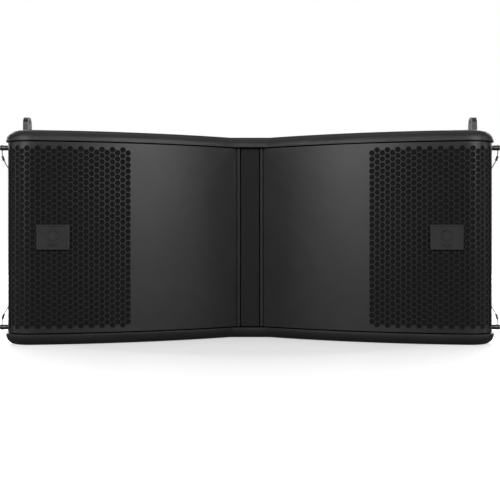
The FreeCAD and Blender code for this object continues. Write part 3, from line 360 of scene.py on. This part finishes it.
def grillePath():
    # two functions: a point in plan from the distance along the sheet, and that distance from a width
    side = grille["sideEnd"] - cabinet["cornerRadius"]
    turn = cabinet["cornerRadius"] - cabinet["grilleInset"]
    radius = cabinet["flareRadius"] - cabinet["grilleInset"]
    towards = cornerCentre - flareCentre
    meetAngle = math.atan2(towards.y, towards.x)
    cornerLong = turn * (meetAngle + math.pi)
    sideX = cabinet["grilleInset"] - cabinet["halfWidth"]

    def at(along, depth=0.0):
        if along < side:
            return Vector((sideX + depth, frontY + grille["sideEnd"] - along))
        if along < side + cornerLong:
            angle = -math.pi + (along - side) / turn
            return cornerCentre + Vector((math.cos(angle), math.sin(angle))) * (turn - depth)
        angle = meetAngle + (along - side - cornerLong) / radius
        return flareCentre + Vector((math.cos(angle), math.sin(angle))) * (radius - depth)

    def distanceTo(x):
        angle = -math.acos((x - flareCentre.x) / radius)
        return side + cornerLong + (angle - meetAngle) * radius

    return at, distanceTo


def grilleNet(distanceTo):
    # flat net of the sheet: points (along, height) and faces, with every hole left open
    points = {}
    order = []
    faces = []

    def corner(along, high):
        key = (round(along * 1e6), round(high * 1e6))
        if key not in points:
            points[key] = len(order)
            order.append((along, high))
        return points[key]

    half = grille["pitch"] / 2
    reach = half / math.cos(math.radians(30))
    step = 1.5 * reach
    hole = grille["holeWide"] / grille["pitch"]
    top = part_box("left_grille")[1][2] - middleZ
    lastAt = distanceTo(grille["lastColumnX"])
    turns = [math.radians(60 * i) for i in range(6)]
    ring = [(reach * math.cos(turn), reach * math.sin(turn)) for turn in turns]
    columns = range(grille["firstColumn"], grille["lastColumn"] + 1)
    placeOf = {c: lastAt - (grille["lastColumn"] - c) * step for c in columns}
    countOf = {c: grille["holesEven"] - c % 2 for c in columns}
    for column in columns:
        centre = placeOf[column]
        count = countOf[column]
        for row in range(count):
            high = (row - (count - 1) / 2) * grille["pitch"]
            outer = [corner(centre + x, high + z) for x, z in ring]
            inner = [corner(centre + x * hole, high + z * hole) for x, z in ring]
            for i in range(6):
                after = (i + 1) % 6
                faces.append((outer[i], outer[after], inner[after], inner[i]))
        edge = count * half
        left, right = centre - reach / 2, centre + reach / 2
        faces.append((corner(left, edge), corner(right, edge), corner(right, top), corner(left, top)))
        faces.append((corner(left, -top), corner(right, -top), corner(right, -edge), corner(left, -edge)))
        if column < grille["lastColumn"]:
            nextLeft = placeOf[column + 1] - reach / 2
            nextEdge = countOf[column + 1] * half
            faces.append((corner(right, edge), corner(nextLeft, nextEdge), corner(nextLeft, top),
                          corner(right, top)))
            faces.append((corner(right, -top), corner(nextLeft, -top), corner(nextLeft, -nextEdge),
                          corner(right, -edge)))

    def plainStrip(column, sign, stops):
        # smooth sheet from the last cells of a column out to a row of stops
        centre = placeOf[column]
        count = countOf[column]
        rows = [-top] + [(i - count) * half for i in range(2 * count + 1)] + [top]
        edge = []
        for i, high in enumerate(rows):
            inCell = 0 < i < len(rows) - 1 and i % 2 == 0
            edge.append((centre + sign * (reach if inCell else reach / 2), high))
        before = edge
        for stop in stops:
            after = [(stop, high) for high in rows]
            for i in range(len(rows) - 1):
                quad = [corner(*before[i]), corner(*after[i]),
                        corner(*after[i + 1]), corner(*before[i + 1])]
                faces.append(tuple(quad if sign > 0 else reversed(quad)))
            before = after

    sideAt = placeOf[grille["firstColumn"]] - reach
    plainStrip(grille["firstColumn"], -1, [sideAt - grille["margin"], sideAt * 0.5, 0.0])
    flareAt = lastAt + reach + grille["margin"]
    end = distanceTo(grille["innerX"])
    steps = grille["flareSteps"]
    plainStrip(grille["lastColumn"], 1, [flareAt + (end - flareAt) * i / steps for i in range(steps + 1)])
    return order, faces, end


def foldedSheet(order, faces, at, end):
    # gives the net its thickness and wraps it round the cabinet, with the lip at its inner end
    count = len(order)
    points = []
    for depth in (0.0, cabinet["sheet"]):
        for along, high in order:
            place = at(along, depth)
            points.append(Vector((place.x, place.y, middleZ + high)))
    solid = list(faces) + [tuple(count + i for i in reversed(face)) for face in faces]
    edges = dict.fromkeys(pair for face in faces for pair in zip(face, face[1:] + face[:1]))
    atEnd = [i for i, (along, high) in enumerate(order) if abs(along - end) < 1e-6]
    lipPoints = {}
    for index in atEnd:
        front = points[index]
        wall = Vector((front.x - cabinet["sheet"], points[count + index].y, front.z))
        points[count + index] = wall
        lipPoints[index] = len(points)
        points.append(Vector((front.x, front.y + grille["lip"], front.z)))
        points.append(Vector((wall.x, front.y + grille["lip"], front.z)))
    for first, second in edges:
        if (second, first) in edges:
            continue
        if first in lipPoints and second in lipPoints:
            a, b = lipPoints[first], lipPoints[second]
            solid.append((second, first, a, b))
            solid.append((b, a, a + 1, b + 1))
            solid.append((b + 1, a + 1, count + first, count + second))
        else:
            solid.append((second, first, count + first, count + second))
    rows = sorted(atEnd, key=lambda i: order[i][1])
    for index in (rows[0], rows[-1]):
        lip = lipPoints[index]
        cap = (index, lip, lip + 1, count + index)
        solid.append(cap if index == rows[-1] else tuple(reversed(cap)))
    return points, solid


def makeGrilles(mat):
    at, distanceTo = grillePath()
    order, faces, end = grilleNet(distanceTo)
    points, solid = foldedSheet(order, faces, at, end)
    for side in ("left", "right"):
        placed = points if side == "left" else mirrorX(points)
        piece = meshPiece(side + "PunchedGrille", placed, solid, mat, 30)
        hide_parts(side + "_grille")
        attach(piece, "root")
    print("grilles punched with", len(faces), "faces a side")


# finishes, each tuned for one of the cabinet's surfaces
finishes = {
    "rollPaint": {
        "dark": (0.016, 0.016, 0.017), "light": (0.026, 0.026, 0.028), "mottleScale": 9, "rough": 0.40,
        "roughSpread": 0.06, "grainScale": 620, "grainDetail": 6.0, "grain": 0.55, "grainDepth": 0.0009,
        "wear": 0.35, "worn": (0.055, 0.053, 0.05)},
    "grilleBlack": {
        "dark": (0.016, 0.016, 0.017), "light": (0.022, 0.022, 0.023), "mottleScale": 14, "rough": 0.40,
        "roughSpread": 0.04, "grainScale": 1500, "grain": 0.2, "grainDepth": 0.0003},
    "boardStain": {
        "dark": (0.012, 0.010, 0.009), "light": (0.030, 0.025, 0.020), "mottleScale": 22, "rough": 0.62,
        "roughSpread": 0.08, "grainScale": 240, "grainDetail": 8.0, "grain": 0.4, "grainDepth": 0.001},
    "foamGrey": {
        "dark": (0.004, 0.004, 0.004), "light": (0.014, 0.014, 0.014), "mottleScale": 500, "rough": 0.9,
        "roughSpread": 0.05, "grainScale": 800, "grainDetail": 8.0, "grain": 1.0, "grainDepth": 0.002,
        "sheen": 0.1, "specular": 0.15},
    "slotCloth": {
        "dark": (0.004, 0.004, 0.004), "light": (0.006, 0.006, 0.006), "mottleScale": 40, "rough": 0.7,
        "roughSpread": 0.05, "grainScale": 900, "grain": 0.3, "grainDepth": 0.0004, "weave": 500,
        "specular": 0.35},
    "castBlack": {
        "dark": (0.014, 0.014, 0.015), "light": (0.035, 0.035, 0.037), "mottleScale": 30, "rough": 0.45,
        "roughSpread": 0.08, "grainScale": 420, "grainDetail": 6.0, "grain": 0.5, "grainDepth": 0.0008,
        "metal": 0.3},
    "rigCoat": {
        "dark": (0.018, 0.018, 0.019), "light": (0.034, 0.034, 0.036), "mottleScale": 26, "rough": 0.34,
        "roughSpread": 0.08, "grainScale": 900, "grain": 0.3, "grainDepth": 0.0004, "metal": 0.35,
        "wear": 0.6, "worn": (0.09, 0.088, 0.085), "coat": 0.1},
    "pinSteel": {
        "dark": (0.035, 0.035, 0.035), "light": (0.08, 0.08, 0.08), "mottleScale": 60, "rough": 0.36,
        "roughSpread": 0.1, "grainScale": 1300, "grain": 0.2, "grainDepth": 0.0002, "metal": 0.9,
        "wear": 0.8, "worn": (0.45, 0.44, 0.42)},
    "screwZinc": {
        "dark": (0.02, 0.02, 0.022), "light": (0.06, 0.06, 0.065), "mottleScale": 120, "rough": 0.32,
        "roughSpread": 0.1, "grainScale": 1500, "grain": 0.2, "grainDepth": 0.0002, "metal": 0.85,
        "wear": 0.9, "worn": (0.3, 0.3, 0.3)},
    "bareSteel": {
        "dark": (0.30, 0.30, 0.31), "light": (0.46, 0.46, 0.47), "mottleScale": 34, "rough": 0.34,
        "roughSpread": 0.1, "grainScale": 900, "grain": 0.25, "grainDepth": 0.0003, "metal": 0.95},
    "softRubber": {
        "dark": (0.010, 0.010, 0.010), "light": (0.020, 0.020, 0.020), "mottleScale": 45, "rough": 0.62,
        "roughSpread": 0.08, "grainScale": 700, "grainDetail": 5.0, "grain": 0.5, "grainDepth": 0.0006,
        "specular": 0.35},
    "conePaper": {
        "dark": (0.012, 0.012, 0.012), "light": (0.030, 0.029, 0.028), "mottleScale": 160, "rough": 0.72,
        "roughSpread": 0.08, "grainScale": 520, "grainDetail": 9.0, "grain": 0.9, "grainDepth": 0.0012,
        "sheen": 0.15},
    "spiderCloth": {
        "dark": (0.42, 0.25, 0.06), "light": (0.62, 0.42, 0.14), "mottleScale": 60, "rough": 0.8,
        "roughSpread": 0.06, "grainScale": 900, "grain": 0.6, "grainDepth": 0.0008, "weave": 420},
    "moulding": {
        "dark": (0.014, 0.014, 0.015), "light": (0.022, 0.022, 0.024), "mottleScale": 20, "rough": 0.5,
        "roughSpread": 0.06, "grainScale": 1100, "grainDetail": 4.0, "grain": 0.45, "grainDepth": 0.0005,
        "wear": 0.3, "worn": (0.06, 0.06, 0.06)},
    "badgeSatin": {
        "dark": (0.040, 0.040, 0.041), "light": (0.052, 0.052, 0.053), "mottleScale": 50, "rough": 0.33,
        "roughSpread": 0.04, "grainScale": 2200, "grain": 0.12, "grainDepth": 0.0002, "metal": 0.3},
    "cardGreen": {
        "dark": (0.008, 0.05, 0.02), "light": (0.015, 0.09, 0.04), "mottleScale": 80, "rough": 0.35,
        "roughSpread": 0.05, "grainScale": 600, "grain": 0.15, "grainDepth": 0.0003, "coat": 0.4},
    "coilCopper": {
        "dark": (0.28, 0.09, 0.03), "light": (0.55, 0.22, 0.08), "mottleScale": 150, "rough": 0.38,
        "roughSpread": 0.08, "grainScale": 500, "grain": 0.5, "grainDepth": 0.0008, "metal": 0.8,
        "weave": 260},
    "sleeveSteel": {
        "dark": (0.03, 0.03, 0.03), "light": (0.07, 0.07, 0.07), "mottleScale": 90, "rough": 0.33,
        "roughSpread": 0.1, "grainScale": 1600, "grain": 0.25, "grainDepth": 0.0002, "metal": 0.85,
        "wear": 0.8, "worn": (0.3, 0.3, 0.3)},
    "wireRope": {
        "dark": (0.07, 0.07, 0.07), "light": (0.20, 0.20, 0.20), "mottleScale": 300, "rough": 0.36,
        "roughSpread": 0.1, "grainScale": 1800, "grain": 0.3, "grainDepth": 0.0002, "metal": 0.85},
}


def makeFinishes():
    made = {name: finish(name, look) for name, look in finishes.items()}
    print(len(made), "finishes are mixed")
    return made


def paintNodes(made):
    assign(made["rollPaint"], "top_panel", "bottom_panel", "left_side_panel", "right_side_panel",
           "rear_corner_panels", "back_panel")
    assign(made["boardStain"], "left_lf_baffle", "right_lf_baffle", "chamber_walls")
    assign(made["grilleBlack"], "slot_trims")
    assign(made["slotCloth"], "hf_slot_cover")
    assign(made["foamGrey"], "grille_foams")
    assign(made["castBlack"], "left_lf_basket", "right_lf_basket", "compression_drivers")
    assign(made["bareSteel"], "left_lf_motor", "right_lf_motor")
    assign(made["softRubber"], "left_lf_surround", "right_lf_surround", "handle_bars")
    assign(made["conePaper"], "left_lf_cone", "right_lf_cone")
    assign(made["spiderCloth"], "left_lf_spider", "right_lf_spider")
    assign(made["moulding"], "waveguide_left_half", "waveguide_right_half", "handle_cups", "connectors")
    assign(made["rigCoat"], "rig_plates", "left_front_link", "right_front_link", "link_guides",
           "rear_bracket", "splay_arm", "input_plate")
    assign(made["screwZinc"], "grille_screws", "driver_screws", "rear_screws", "rig_screws",
           "splay_pivot_bolt")
    assign(made["cardGreen"], "crossover_board")
    assign(made["coilCopper"], "crossover_parts")
    pins = [f"{side}_{level}" for side in ("left", "right") for level in ("top", "bottom")] + ["rear"]
    for pin in pins:
        assign(made["pinSteel"], pin + "_pin", pin + "_pin_button")
    print("finishes are on", len(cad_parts), "CAD nodes")


# lanyards: wire rope from each pin to a stub on the cabinet, with a loop and a crimped sleeve at the pin
lanyard = {
    "thick": 0.0016,
    "sideLength": 0.066,
    "rearLength": 0.0595,
    "gap": 0.0004,           # between the points of the wire's line
    "sides": 24,
    "strands": 6,
    "groove": 0.14,          # depth between the strands, as a share of the radius
    "lay": 0.006,            # length of one full twist of the strands
    "loopRadius": 0.0047,
    "loopWire": 0.0007,
    "loopSteps": (40, 12),   # round the loop, and round its wire
    "sleeve": (0.0021, 0.0085),    # radius and length
    "sleeveAt": 0.0095,      # start of the sleeve along the wire
    "ferrule": (0.0019, 0.0022),
    "bend": (0.3, 0.9),      # shares of the length between which it leaves the pin and joins the cabinet
}
sideRoute = [(-0.4265, -0.125, 0.3255), (-0.4265, -0.125, 0.317), (-0.424, -0.122, 0.308),
             (-0.4195, -0.117, 0.2985), (-0.416, -0.109, 0.290), (-0.4155, -0.100, 0.2855),
             (-0.4155, -0.092, 0.290), (-0.4085, -0.092, 0.290)]
rearRoute = [(0.0505, 0.205, 0.2045), (0.0505, 0.205, 0.213), (0.0495, 0.207, 0.223), (0.045, 0.211, 0.232),
             (0.040, 0.2135, 0.239), (0.033, 0.2125, 0.244), (0.030, 0.207, 0.244), (0.030, 0.200, 0.244)]


def readSpline(name, route):
    # the wire's own line, read from a spline through its route
    curve = bpy.data.curves.new(name, "CURVE")
    curve.dimensions = "3D"
    curve.resolution_u = 24
    spline = curve.splines.new("NURBS")
    spline.points.add(len(route) - 1)
    for point, place in zip(spline.points, route):
        point.co = (*place, 1.0)
    spline.order_u = 3
    spline.use_endpoint_u = True
    holder = bpy.data.objects.new(name, curve)
    bpy.context.scene.collection.objects.link(holder)
    bpy.context.view_layer.update()
    line = bpy.data.meshes.new_from_object(holder)
    points = [vertex.co.copy() for vertex in line.vertices]
    bpy.data.objects.remove(holder, do_unlink=True)
    bpy.data.meshes.remove(line)
    return points


def evenly(points, gap):
    # the same line with its points a set distance apart
    lengths = [0.0]
    for before, after in zip(points, points[1:]):
        lengths.append(lengths[-1] + (after - before).length)
    count = max(2, round(lengths[-1] / gap))
    spaced = []
    place = 0
    for step in range(count + 1):
        target = lengths[-1] * step / count
        while place < len(points) - 2 and lengths[place + 1] < target:
            place += 1
        run = max(lengths[place + 1] - lengths[place], 1e-9)
        spaced.append(points[place].lerp(points[place + 1], (target - lengths[place]) / run))
    return spaced


def tubeAlong(line, radiusAt, sides):
    # closed tube whose radius can change along it and around it
    points = []
    faces = []
    across = None
    for place, centre in enumerate(line):
        forward = (line[min(place + 1, len(line) - 1)] - line[max(place - 1, 0)]).normalized()
        if across is None:
            across = forward.orthogonal().normalized()
        across = (across - forward * across.dot(forward)).normalized()
        other = forward.cross(across)
        for side in range(sides):
            angle = 2 * math.pi * side / sides
            outward = across * math.cos(angle) + other * math.sin(angle)
            points.append(centre + outward * radiusAt(place, angle))
    for place in range(len(line) - 1):
        here, ahead = place * sides, (place + 1) * sides
        for side in range(sides):
            after = (side + 1) % sides
            faces.append((here + side, here + after, ahead + after, ahead + side))
    faces.append(tuple(reversed(range(sides))))
    faces.append(tuple((len(line) - 1) * sides + side for side in range(sides)))
    return points, faces


def addFaces(points, faces, morePoints, moreFaces):
    start = len(points)
    points.extend(morePoints)
    faces.extend(tuple(start + i for i in face) for face in moreFaces)


def turnedOn(profile, origin, axis, steps=32):
    # closed profile of (radius, distance along the axis) turned about an axis in space
    zAxis = Vector(axis).normalized()
    xAxis = zAxis.orthogonal().normalized()
    points, faces = lathe(profile, steps)
    return placeAt(points, origin, xAxis, zAxis.cross(xAxis), zAxis), faces


def ringAround(centre, axis, radius, wire):
    zAxis = Vector(axis).normalized()
    xAxis = zAxis.orthogonal().normalized()
    yAxis = zAxis.cross(xAxis)
    steps, sides = lanyard["loopSteps"]
    points = []
    faces = []
    for step in range(steps):
        angle = 2 * math.pi * step / steps
        out = xAxis * math.cos(angle) + yAxis * math.sin(angle)
        here, ahead = step * sides, (step + 1) % steps * sides
        for side in range(sides):
            around = 2 * math.pi * side / sides
            reach = radius + wire * math.cos(around)
            points.append(Vector(centre) + out * reach + zAxis * wire * math.sin(around))
            after = (side + 1) % sides
            faces.append((here + side, ahead + side, ahead + after, here + after))
    return points, faces


def makeWire(pin, name, line, made):
    # wire rope with its strands laid in a twist
    gap = (line[1] - line[0]).length
    sides, strands, groove = lanyard["sides"], lanyard["strands"], lanyard["groove"]

    def radiusAt(place, angle):
        twist = strands / 2 * (angle - 2 * math.pi * place * gap / lanyard["lay"])
        return lanyard["thick"] / 2 * (1 - groove + groove * abs(math.cos(twist)))

    points, faces = tubeAlong(line, radiusAt, sides)
    wire = meshPiece(name + "Lanyard", points, faces, made["wireRope"], 60)
    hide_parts(pin.replace("_pin", "_lanyard"))
    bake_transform(wire, pin, "root", line[0], line[-1])
    share = wire.data.attributes["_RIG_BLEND"].data
    start, end = lanyard["bend"]
    for place in range(len(line)):
        joined = easeInOut((place / (len(line) - 1) - start) / (end - start))
        for side in range(sides):
            share[place * sides + side].value = joined
    return wire


def makeSleeve(pin, name, line, axis, made):
    # loop round the pin's head, and the sleeve that closes it
    low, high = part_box(pin)
    centre = (line[0].x, (low[1] + high[1]) / 2, (low[2] + high[2]) / 2)
    points, faces = ringAround(centre, axis, lanyard["loopRadius"], lanyard["loopWire"])
    gap = (line[1] - line[0]).length
    radius, tall = lanyard["sleeve"]
    first = round(lanyard["sleeveAt"] / gap)
    last = round((lanyard["sleeveAt"] + tall) / gap)
    bore = lanyard["thick"] / 2
    # half of the sleeve's crimped outline, from its middle to its end
    half = [(radius * 0.84, tall * 0.16), (radius, tall * 0.22), (radius, tall * 0.42),
            (radius * 0.8, tall / 2), (bore, tall / 2)]
    profile = [(reach, -along) for reach, along in reversed(half)] + half
    addFaces(points, faces, *turnedOn(profile, line[(first + last) // 2], line[last] - line[first]))
    sleeve = meshPiece(name + "Sleeve", points, faces, made["sleeveSteel"])
    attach(sleeve, pin)
    return sleeve


def makeFerrule(name, line, made):
    # ferrule where the wire ends on its stub
    radius, tall = lanyard["ferrule"]
    bore = lanyard["thick"] / 2
    profile = [(bore, 0), (radius, 0), (radius, -tall * 0.6), (radius * 0.75, -tall), (bore, -tall)]
    points, faces = turnedOn(profile, line[-1], line[-1] - line[-4])
    ferrule = meshPiece(name + "Ferrule", points, faces, made["sleeveSteel"])
    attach(ferrule, "root")
    return ferrule


def makeLanyard(pin, route, axis, made):
    line = evenly(readSpline(pin + "Line", route), lanyard["gap"])
    side, *level = pin.split("_")[:-1]
    name = side + "".join(word.capitalize() for word in level)
    wire = makeWire(pin, name, line, made)
    sleeve = makeSleeve(pin, name, line, axis, made)
    ferrule = makeFerrule(name, line, made)


def makeLanyards(made):
    tall = cabinet["height"]
    for side, sign in (("left", 1), ("right", -1)):
        for level in ("top", "bottom"):
            route = [(sign * x, y, z if level == "top" else tall - z) for x, y, z in sideRoute]
            makeLanyard(f"{side}_{level}_pin", route, (-sign, 0, 0), made)
    makeLanyard("rear_pin", rearRoute, (1, 0, 0), made)
    print("lanyards run from the pins to their stubs")


# badge on each grille: a plate with a raised rim, a sunk face and a plain hexagon over two bars
badge = {
    "x": -0.321,
    "size": (0.053, 0.041),
    "lift": 0.00055,
    "corner": 0.003,
    "profile": [(0.0, 0.0), (0.0, 0.0017), (0.0003, 0.0021), (0.0007, 0.0022), (0.0019, 0.0022),
                (0.0023, 0.0020), (0.0025, 0.0013)],    # inset and height, from the back to the sunk face
    "hexagon": (0.0110, 0.0082, 0.0032),    # outer and inner reach, height of its centre
    "bars": [(0.0090, -0.0107), (0.0060, -0.0141)],    # half width, height of its centre
    "barTall": 0.0022,
    "raise": 0.0009,
    "rooted": 0.0001,          # how far the emblem goes into the plate
    "crest": 0.25,             # share of a bar's width left flat on its top
}


def roundedLoop(width, tall, corner, steps=6):
    loop = []
    for number in range(4):
        middleX = (width / 2 - corner) * (1 if number in (0, 3) else -1)
        middleY = (tall / 2 - corner) * (1 if number in (0, 1) else -1)
        for step in range(steps + 1):
            angle = math.pi / 2 * (number + step / steps)
            loop.append((middleX + corner * math.cos(angle), middleY + corner * math.sin(angle)))
    return loop


def nested(loops):
    # closed solid from a stack of loops with the same number of points
    count = len(loops[0])
    points = [point for loop in loops for point in loop]
    faces = [tuple(reversed(range(count)))]
    for row in range(len(loops) - 1):
        low, high = row * count, (row + 1) * count
        for i in range(count):
            after = (i + 1) % count
            faces.append((low + i, low + after, high + after, high + i))
    faces.append(tuple((len(loops) - 1) * count + i for i in range(count)))
    return points, faces


def badgeShape():
    # plate and emblem in the badge's own axes: X along the grille, Y up, Z outwards
    width, tall = badge["size"]
    loops = []
    for inset, high in badge["profile"]:
        loop = roundedLoop(width - 2 * inset, tall - 2 * inset, max(badge["corner"] - inset, 0.0008))
        loops.append([(x, y, high) for x, y in loop])
    points, faces = nested(loops)
    low = high - badge["rooted"]
    top = high + badge["raise"]
    outer, inner, middle = badge["hexagon"]
    shoulder = (outer - inner) * (1 - badge["crest"]) / 2
    for i in range(6):
        # each side of the hexagon is a short ridged bar
        first, second = math.radians(60 * i + 30), math.radians(60 * i + 90)
        rings = []
        for far, near, z in ((outer, inner, low), (outer - shoulder, inner + shoulder, top)):
            spots = ((far, first), (far, second), (near, second), (near, first))
            rings.append([(reach * math.cos(angle), reach * math.sin(angle) + middle, z)
                          for reach, angle in spots])
        addFaces(points, faces, *nested(rings))
    for half, middle in badge["bars"]:
        rings = []
        for wide, deep, z in ((half, badge["barTall"] / 2, low),
                              (half * 0.95, badge["barTall"] / 2 * badge["crest"], top)):
            spots = ((wide, deep), (-wide, deep), (-wide, -deep), (wide, -deep))
            rings.append([(x, y + middle, z) for x, y in spots])
        addFaces(points, faces, *nested(rings))
    return points, faces


def makeBadges(made):
    radius = cabinet["flareRadius"] - cabinet["grilleInset"]
    towards = badge["x"] - flareCentre.x
    place = Vector((badge["x"], flareCentre.y - math.sqrt(radius ** 2 - towards ** 2), middleZ))
    normal = (place.xy - flareCentre).normalized()
    outward = Vector((*normal, 0))
    side = Vector((-normal.y, normal.x, 0))
    up = Vector((0, 0, 1))
    origin = place + outward * badge["lift"]
    points, faces = badgeShape()
    bothPoints = placeAt(points, origin, side, up, outward)
    # the right one is turned round before it is mirrored, so its emblem isn't reversed
    rightPoints = mirrorX(placeAt([(-x, y, z) for x, y, z in points], origin, side, up, outward))
    addFaces(bothPoints, faces, rightPoints, faces[:])
    plates = meshPiece("badgePlates", bothPoints, faces, made["badgeSatin"], 25)
    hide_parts("badges")
    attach(plates, "root")
    print("badges are on the grilles")


# soft rings of the low-frequency drivers, in each driver's own axes: zero on its board, Z to the front
driver = {
    "boardPoint": (-0.2230, -0.14245),
    "axis": (0.2924, -0.9563),
    "rows": 64,              # across a ring
    "steps": 96,             # round it
    "rollMiddle": 0.130,
    "roll": 0.0049,
    "rollBase": 0.0086,
    "landLift": 0.0003,
    "wall": 0.0009,
    "lands": (0.1221, 0.1399),
    "ribs": 48,
    "ribDepth": 0.0003,
    "spiderInner": 0.0388,
    "spiderOuter": 0.0828,
    "spiderZ": -0.0603,
    "spiderWave": 0.0011,
    "spiderTurns": 7,
    "spiderThick": 0.0006,
    "held": 0.15,            # rim of a ring that moves as one with its neighbour
}


def driverPlace(points, sign):
    axis = Vector((driver["axis"][0], driver["axis"][1], 0)).normalized()
    side = Vector((-axis.y, axis.x, 0))
    origin = Vector((*driver["boardPoint"], middleZ))
    placed = placeAt(points, origin, side, Vector((0, 0, 1)), axis)
    return placed if sign < 0 else mirrorX(placed)


def softRing(name, node, sign, mat, slotName, upper, thick, inner, outer):
    # ring whose inner edge moves with the cone and whose outer edge stays with the frame
    rows, steps = driver["rows"], driver["steps"]
    points = []
    faces = []
    for step in range(steps):
        angle = 2 * math.pi * step / steps
        for layer in (0, 1):
            for row in range(rows + 1):
                radius = inner + (outer - inner) * row / rows
                points.append((radius * math.cos(angle), radius * math.sin(angle),
                               upper(radius, angle) - layer * thick))
    wide = 2 * (rows + 1)
    for step in range(steps):
        here, after = step * wide, (step + 1) % steps * wide
        for row in range(rows):
            faces.append((here + row, here + row + 1, after + row + 1, after + row))
            low = rows + 1 + row
            faces.append((after + low, after + low + 1, here + low + 1, here + low))
        faces.append((here, after, after + rows + 1, here + rows + 1))
        faces.append((here + rows, here + wide - 1, after + wide - 1, after + rows))
    piece = meshPiece(name, driverPlace(points, sign), faces, mat, 60)
    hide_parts(node)
    cone = node.split("_")[0] + "_cone"
    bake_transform(piece, cone, "root", (0, 0, 0), (0, 1, 0))
    share = piece.data.attributes["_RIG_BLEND"].data
    held = driver["held"]
    for index, (x, y, _) in enumerate(points):
        across = (math.hypot(x, y) - inner) / (outer - inner)
        share[index].value = easeInOut(across * (1 + 2 * held) - held)


def surroundHeight(radius, angle):
    away = abs(radius - driver["rollMiddle"])
    if away >= driver["roll"]:
        return driver["rollBase"] + driver["landLift"]
    wave = 0.5 + 0.5 * math.cos(driver["ribs"] * angle)
    ripple = driver["ribDepth"] * (1 - (away / driver["roll"]) ** 2) * wave
    return driver["rollBase"] + math.sqrt(driver["roll"] ** 2 - away ** 2) - ripple


def spiderHeight(radius, angle):
    share = (radius - driver["spiderInner"]) / (driver["spiderOuter"] - driver["spiderInner"])
    fade = min(1.0, 6 * share, 6 * (1 - share))
    wave = math.sin(2 * math.pi * driver["spiderTurns"] * share)
    return driver["spiderZ"] + driver["spiderWave"] * fade * wave


def makeDriverRings(made):
    for side, sign in (("left", -1), ("right", 1)):
        softRing(side + "Surround", side + "_lf_surround", sign, made["softRubber"], "rubber",
                 surroundHeight, driver["wall"], *driver["lands"])
        softRing(side + "Spider", side + "_lf_spider", sign, made["spiderCloth"], "spider_cloth",
                 spiderHeight, driver["spiderThick"], driver["spiderInner"], driver["spiderOuter"])
    print("driver surrounds and spiders are in")


# grips: ribbed rubber sleeves on the handle bars
grip = {
    "ribPitch": 0.0042,
    "ribDepth": 0.0007,
    "capLong": 0.004,
    "rib": [(0.0, 0.0), (0.14, 0.5), (0.26, 1.0), (0.42, 1.0), (0.54, 0.5), (0.68, 0.0)],   # along, depth
}


def makeGrips(made):
    low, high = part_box("handle_bars")
    radius = (high[1] - low[1]) / 2
    y = (high[1] + low[1]) / 2
    tall = high[2] - low[2]
    ribs = round((tall - 2 * grip["capLong"]) / grip["ribPitch"])
    pitch = (tall - 2 * grip["capLong"]) / ribs
    profile = [(0, 0), (radius * 0.93, 0), (radius, grip["capLong"] * 0.3)]
    for rib in range(ribs):
        base = grip["capLong"] + rib * pitch
        for share, depth in grip["rib"]:
            profile.append((radius - depth * grip["ribDepth"], base + share * pitch))
    profile += [(radius, tall - grip["capLong"] * 0.3), (radius * 0.93, tall), (0, tall)]
    points = []
    faces = []
    for x in (low[0] + radius, high[0] - radius):
        addFaces(points, faces, *turnedOn(profile, (x, y, low[2]), (0, 0, 1), 48))
    grips = meshPiece("handleGrips", points, faces, made["softRubber"], 40)
    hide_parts("handle_bars")
    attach(grips, "root")
    print("grips are on the handle bars")


made = makeFinishes()
paintNodes(made)
makeGrilles(made["grilleBlack"])
makeBadges(made)
makeLanyards(made)
makeDriverRings(made)
makeGrips(made)
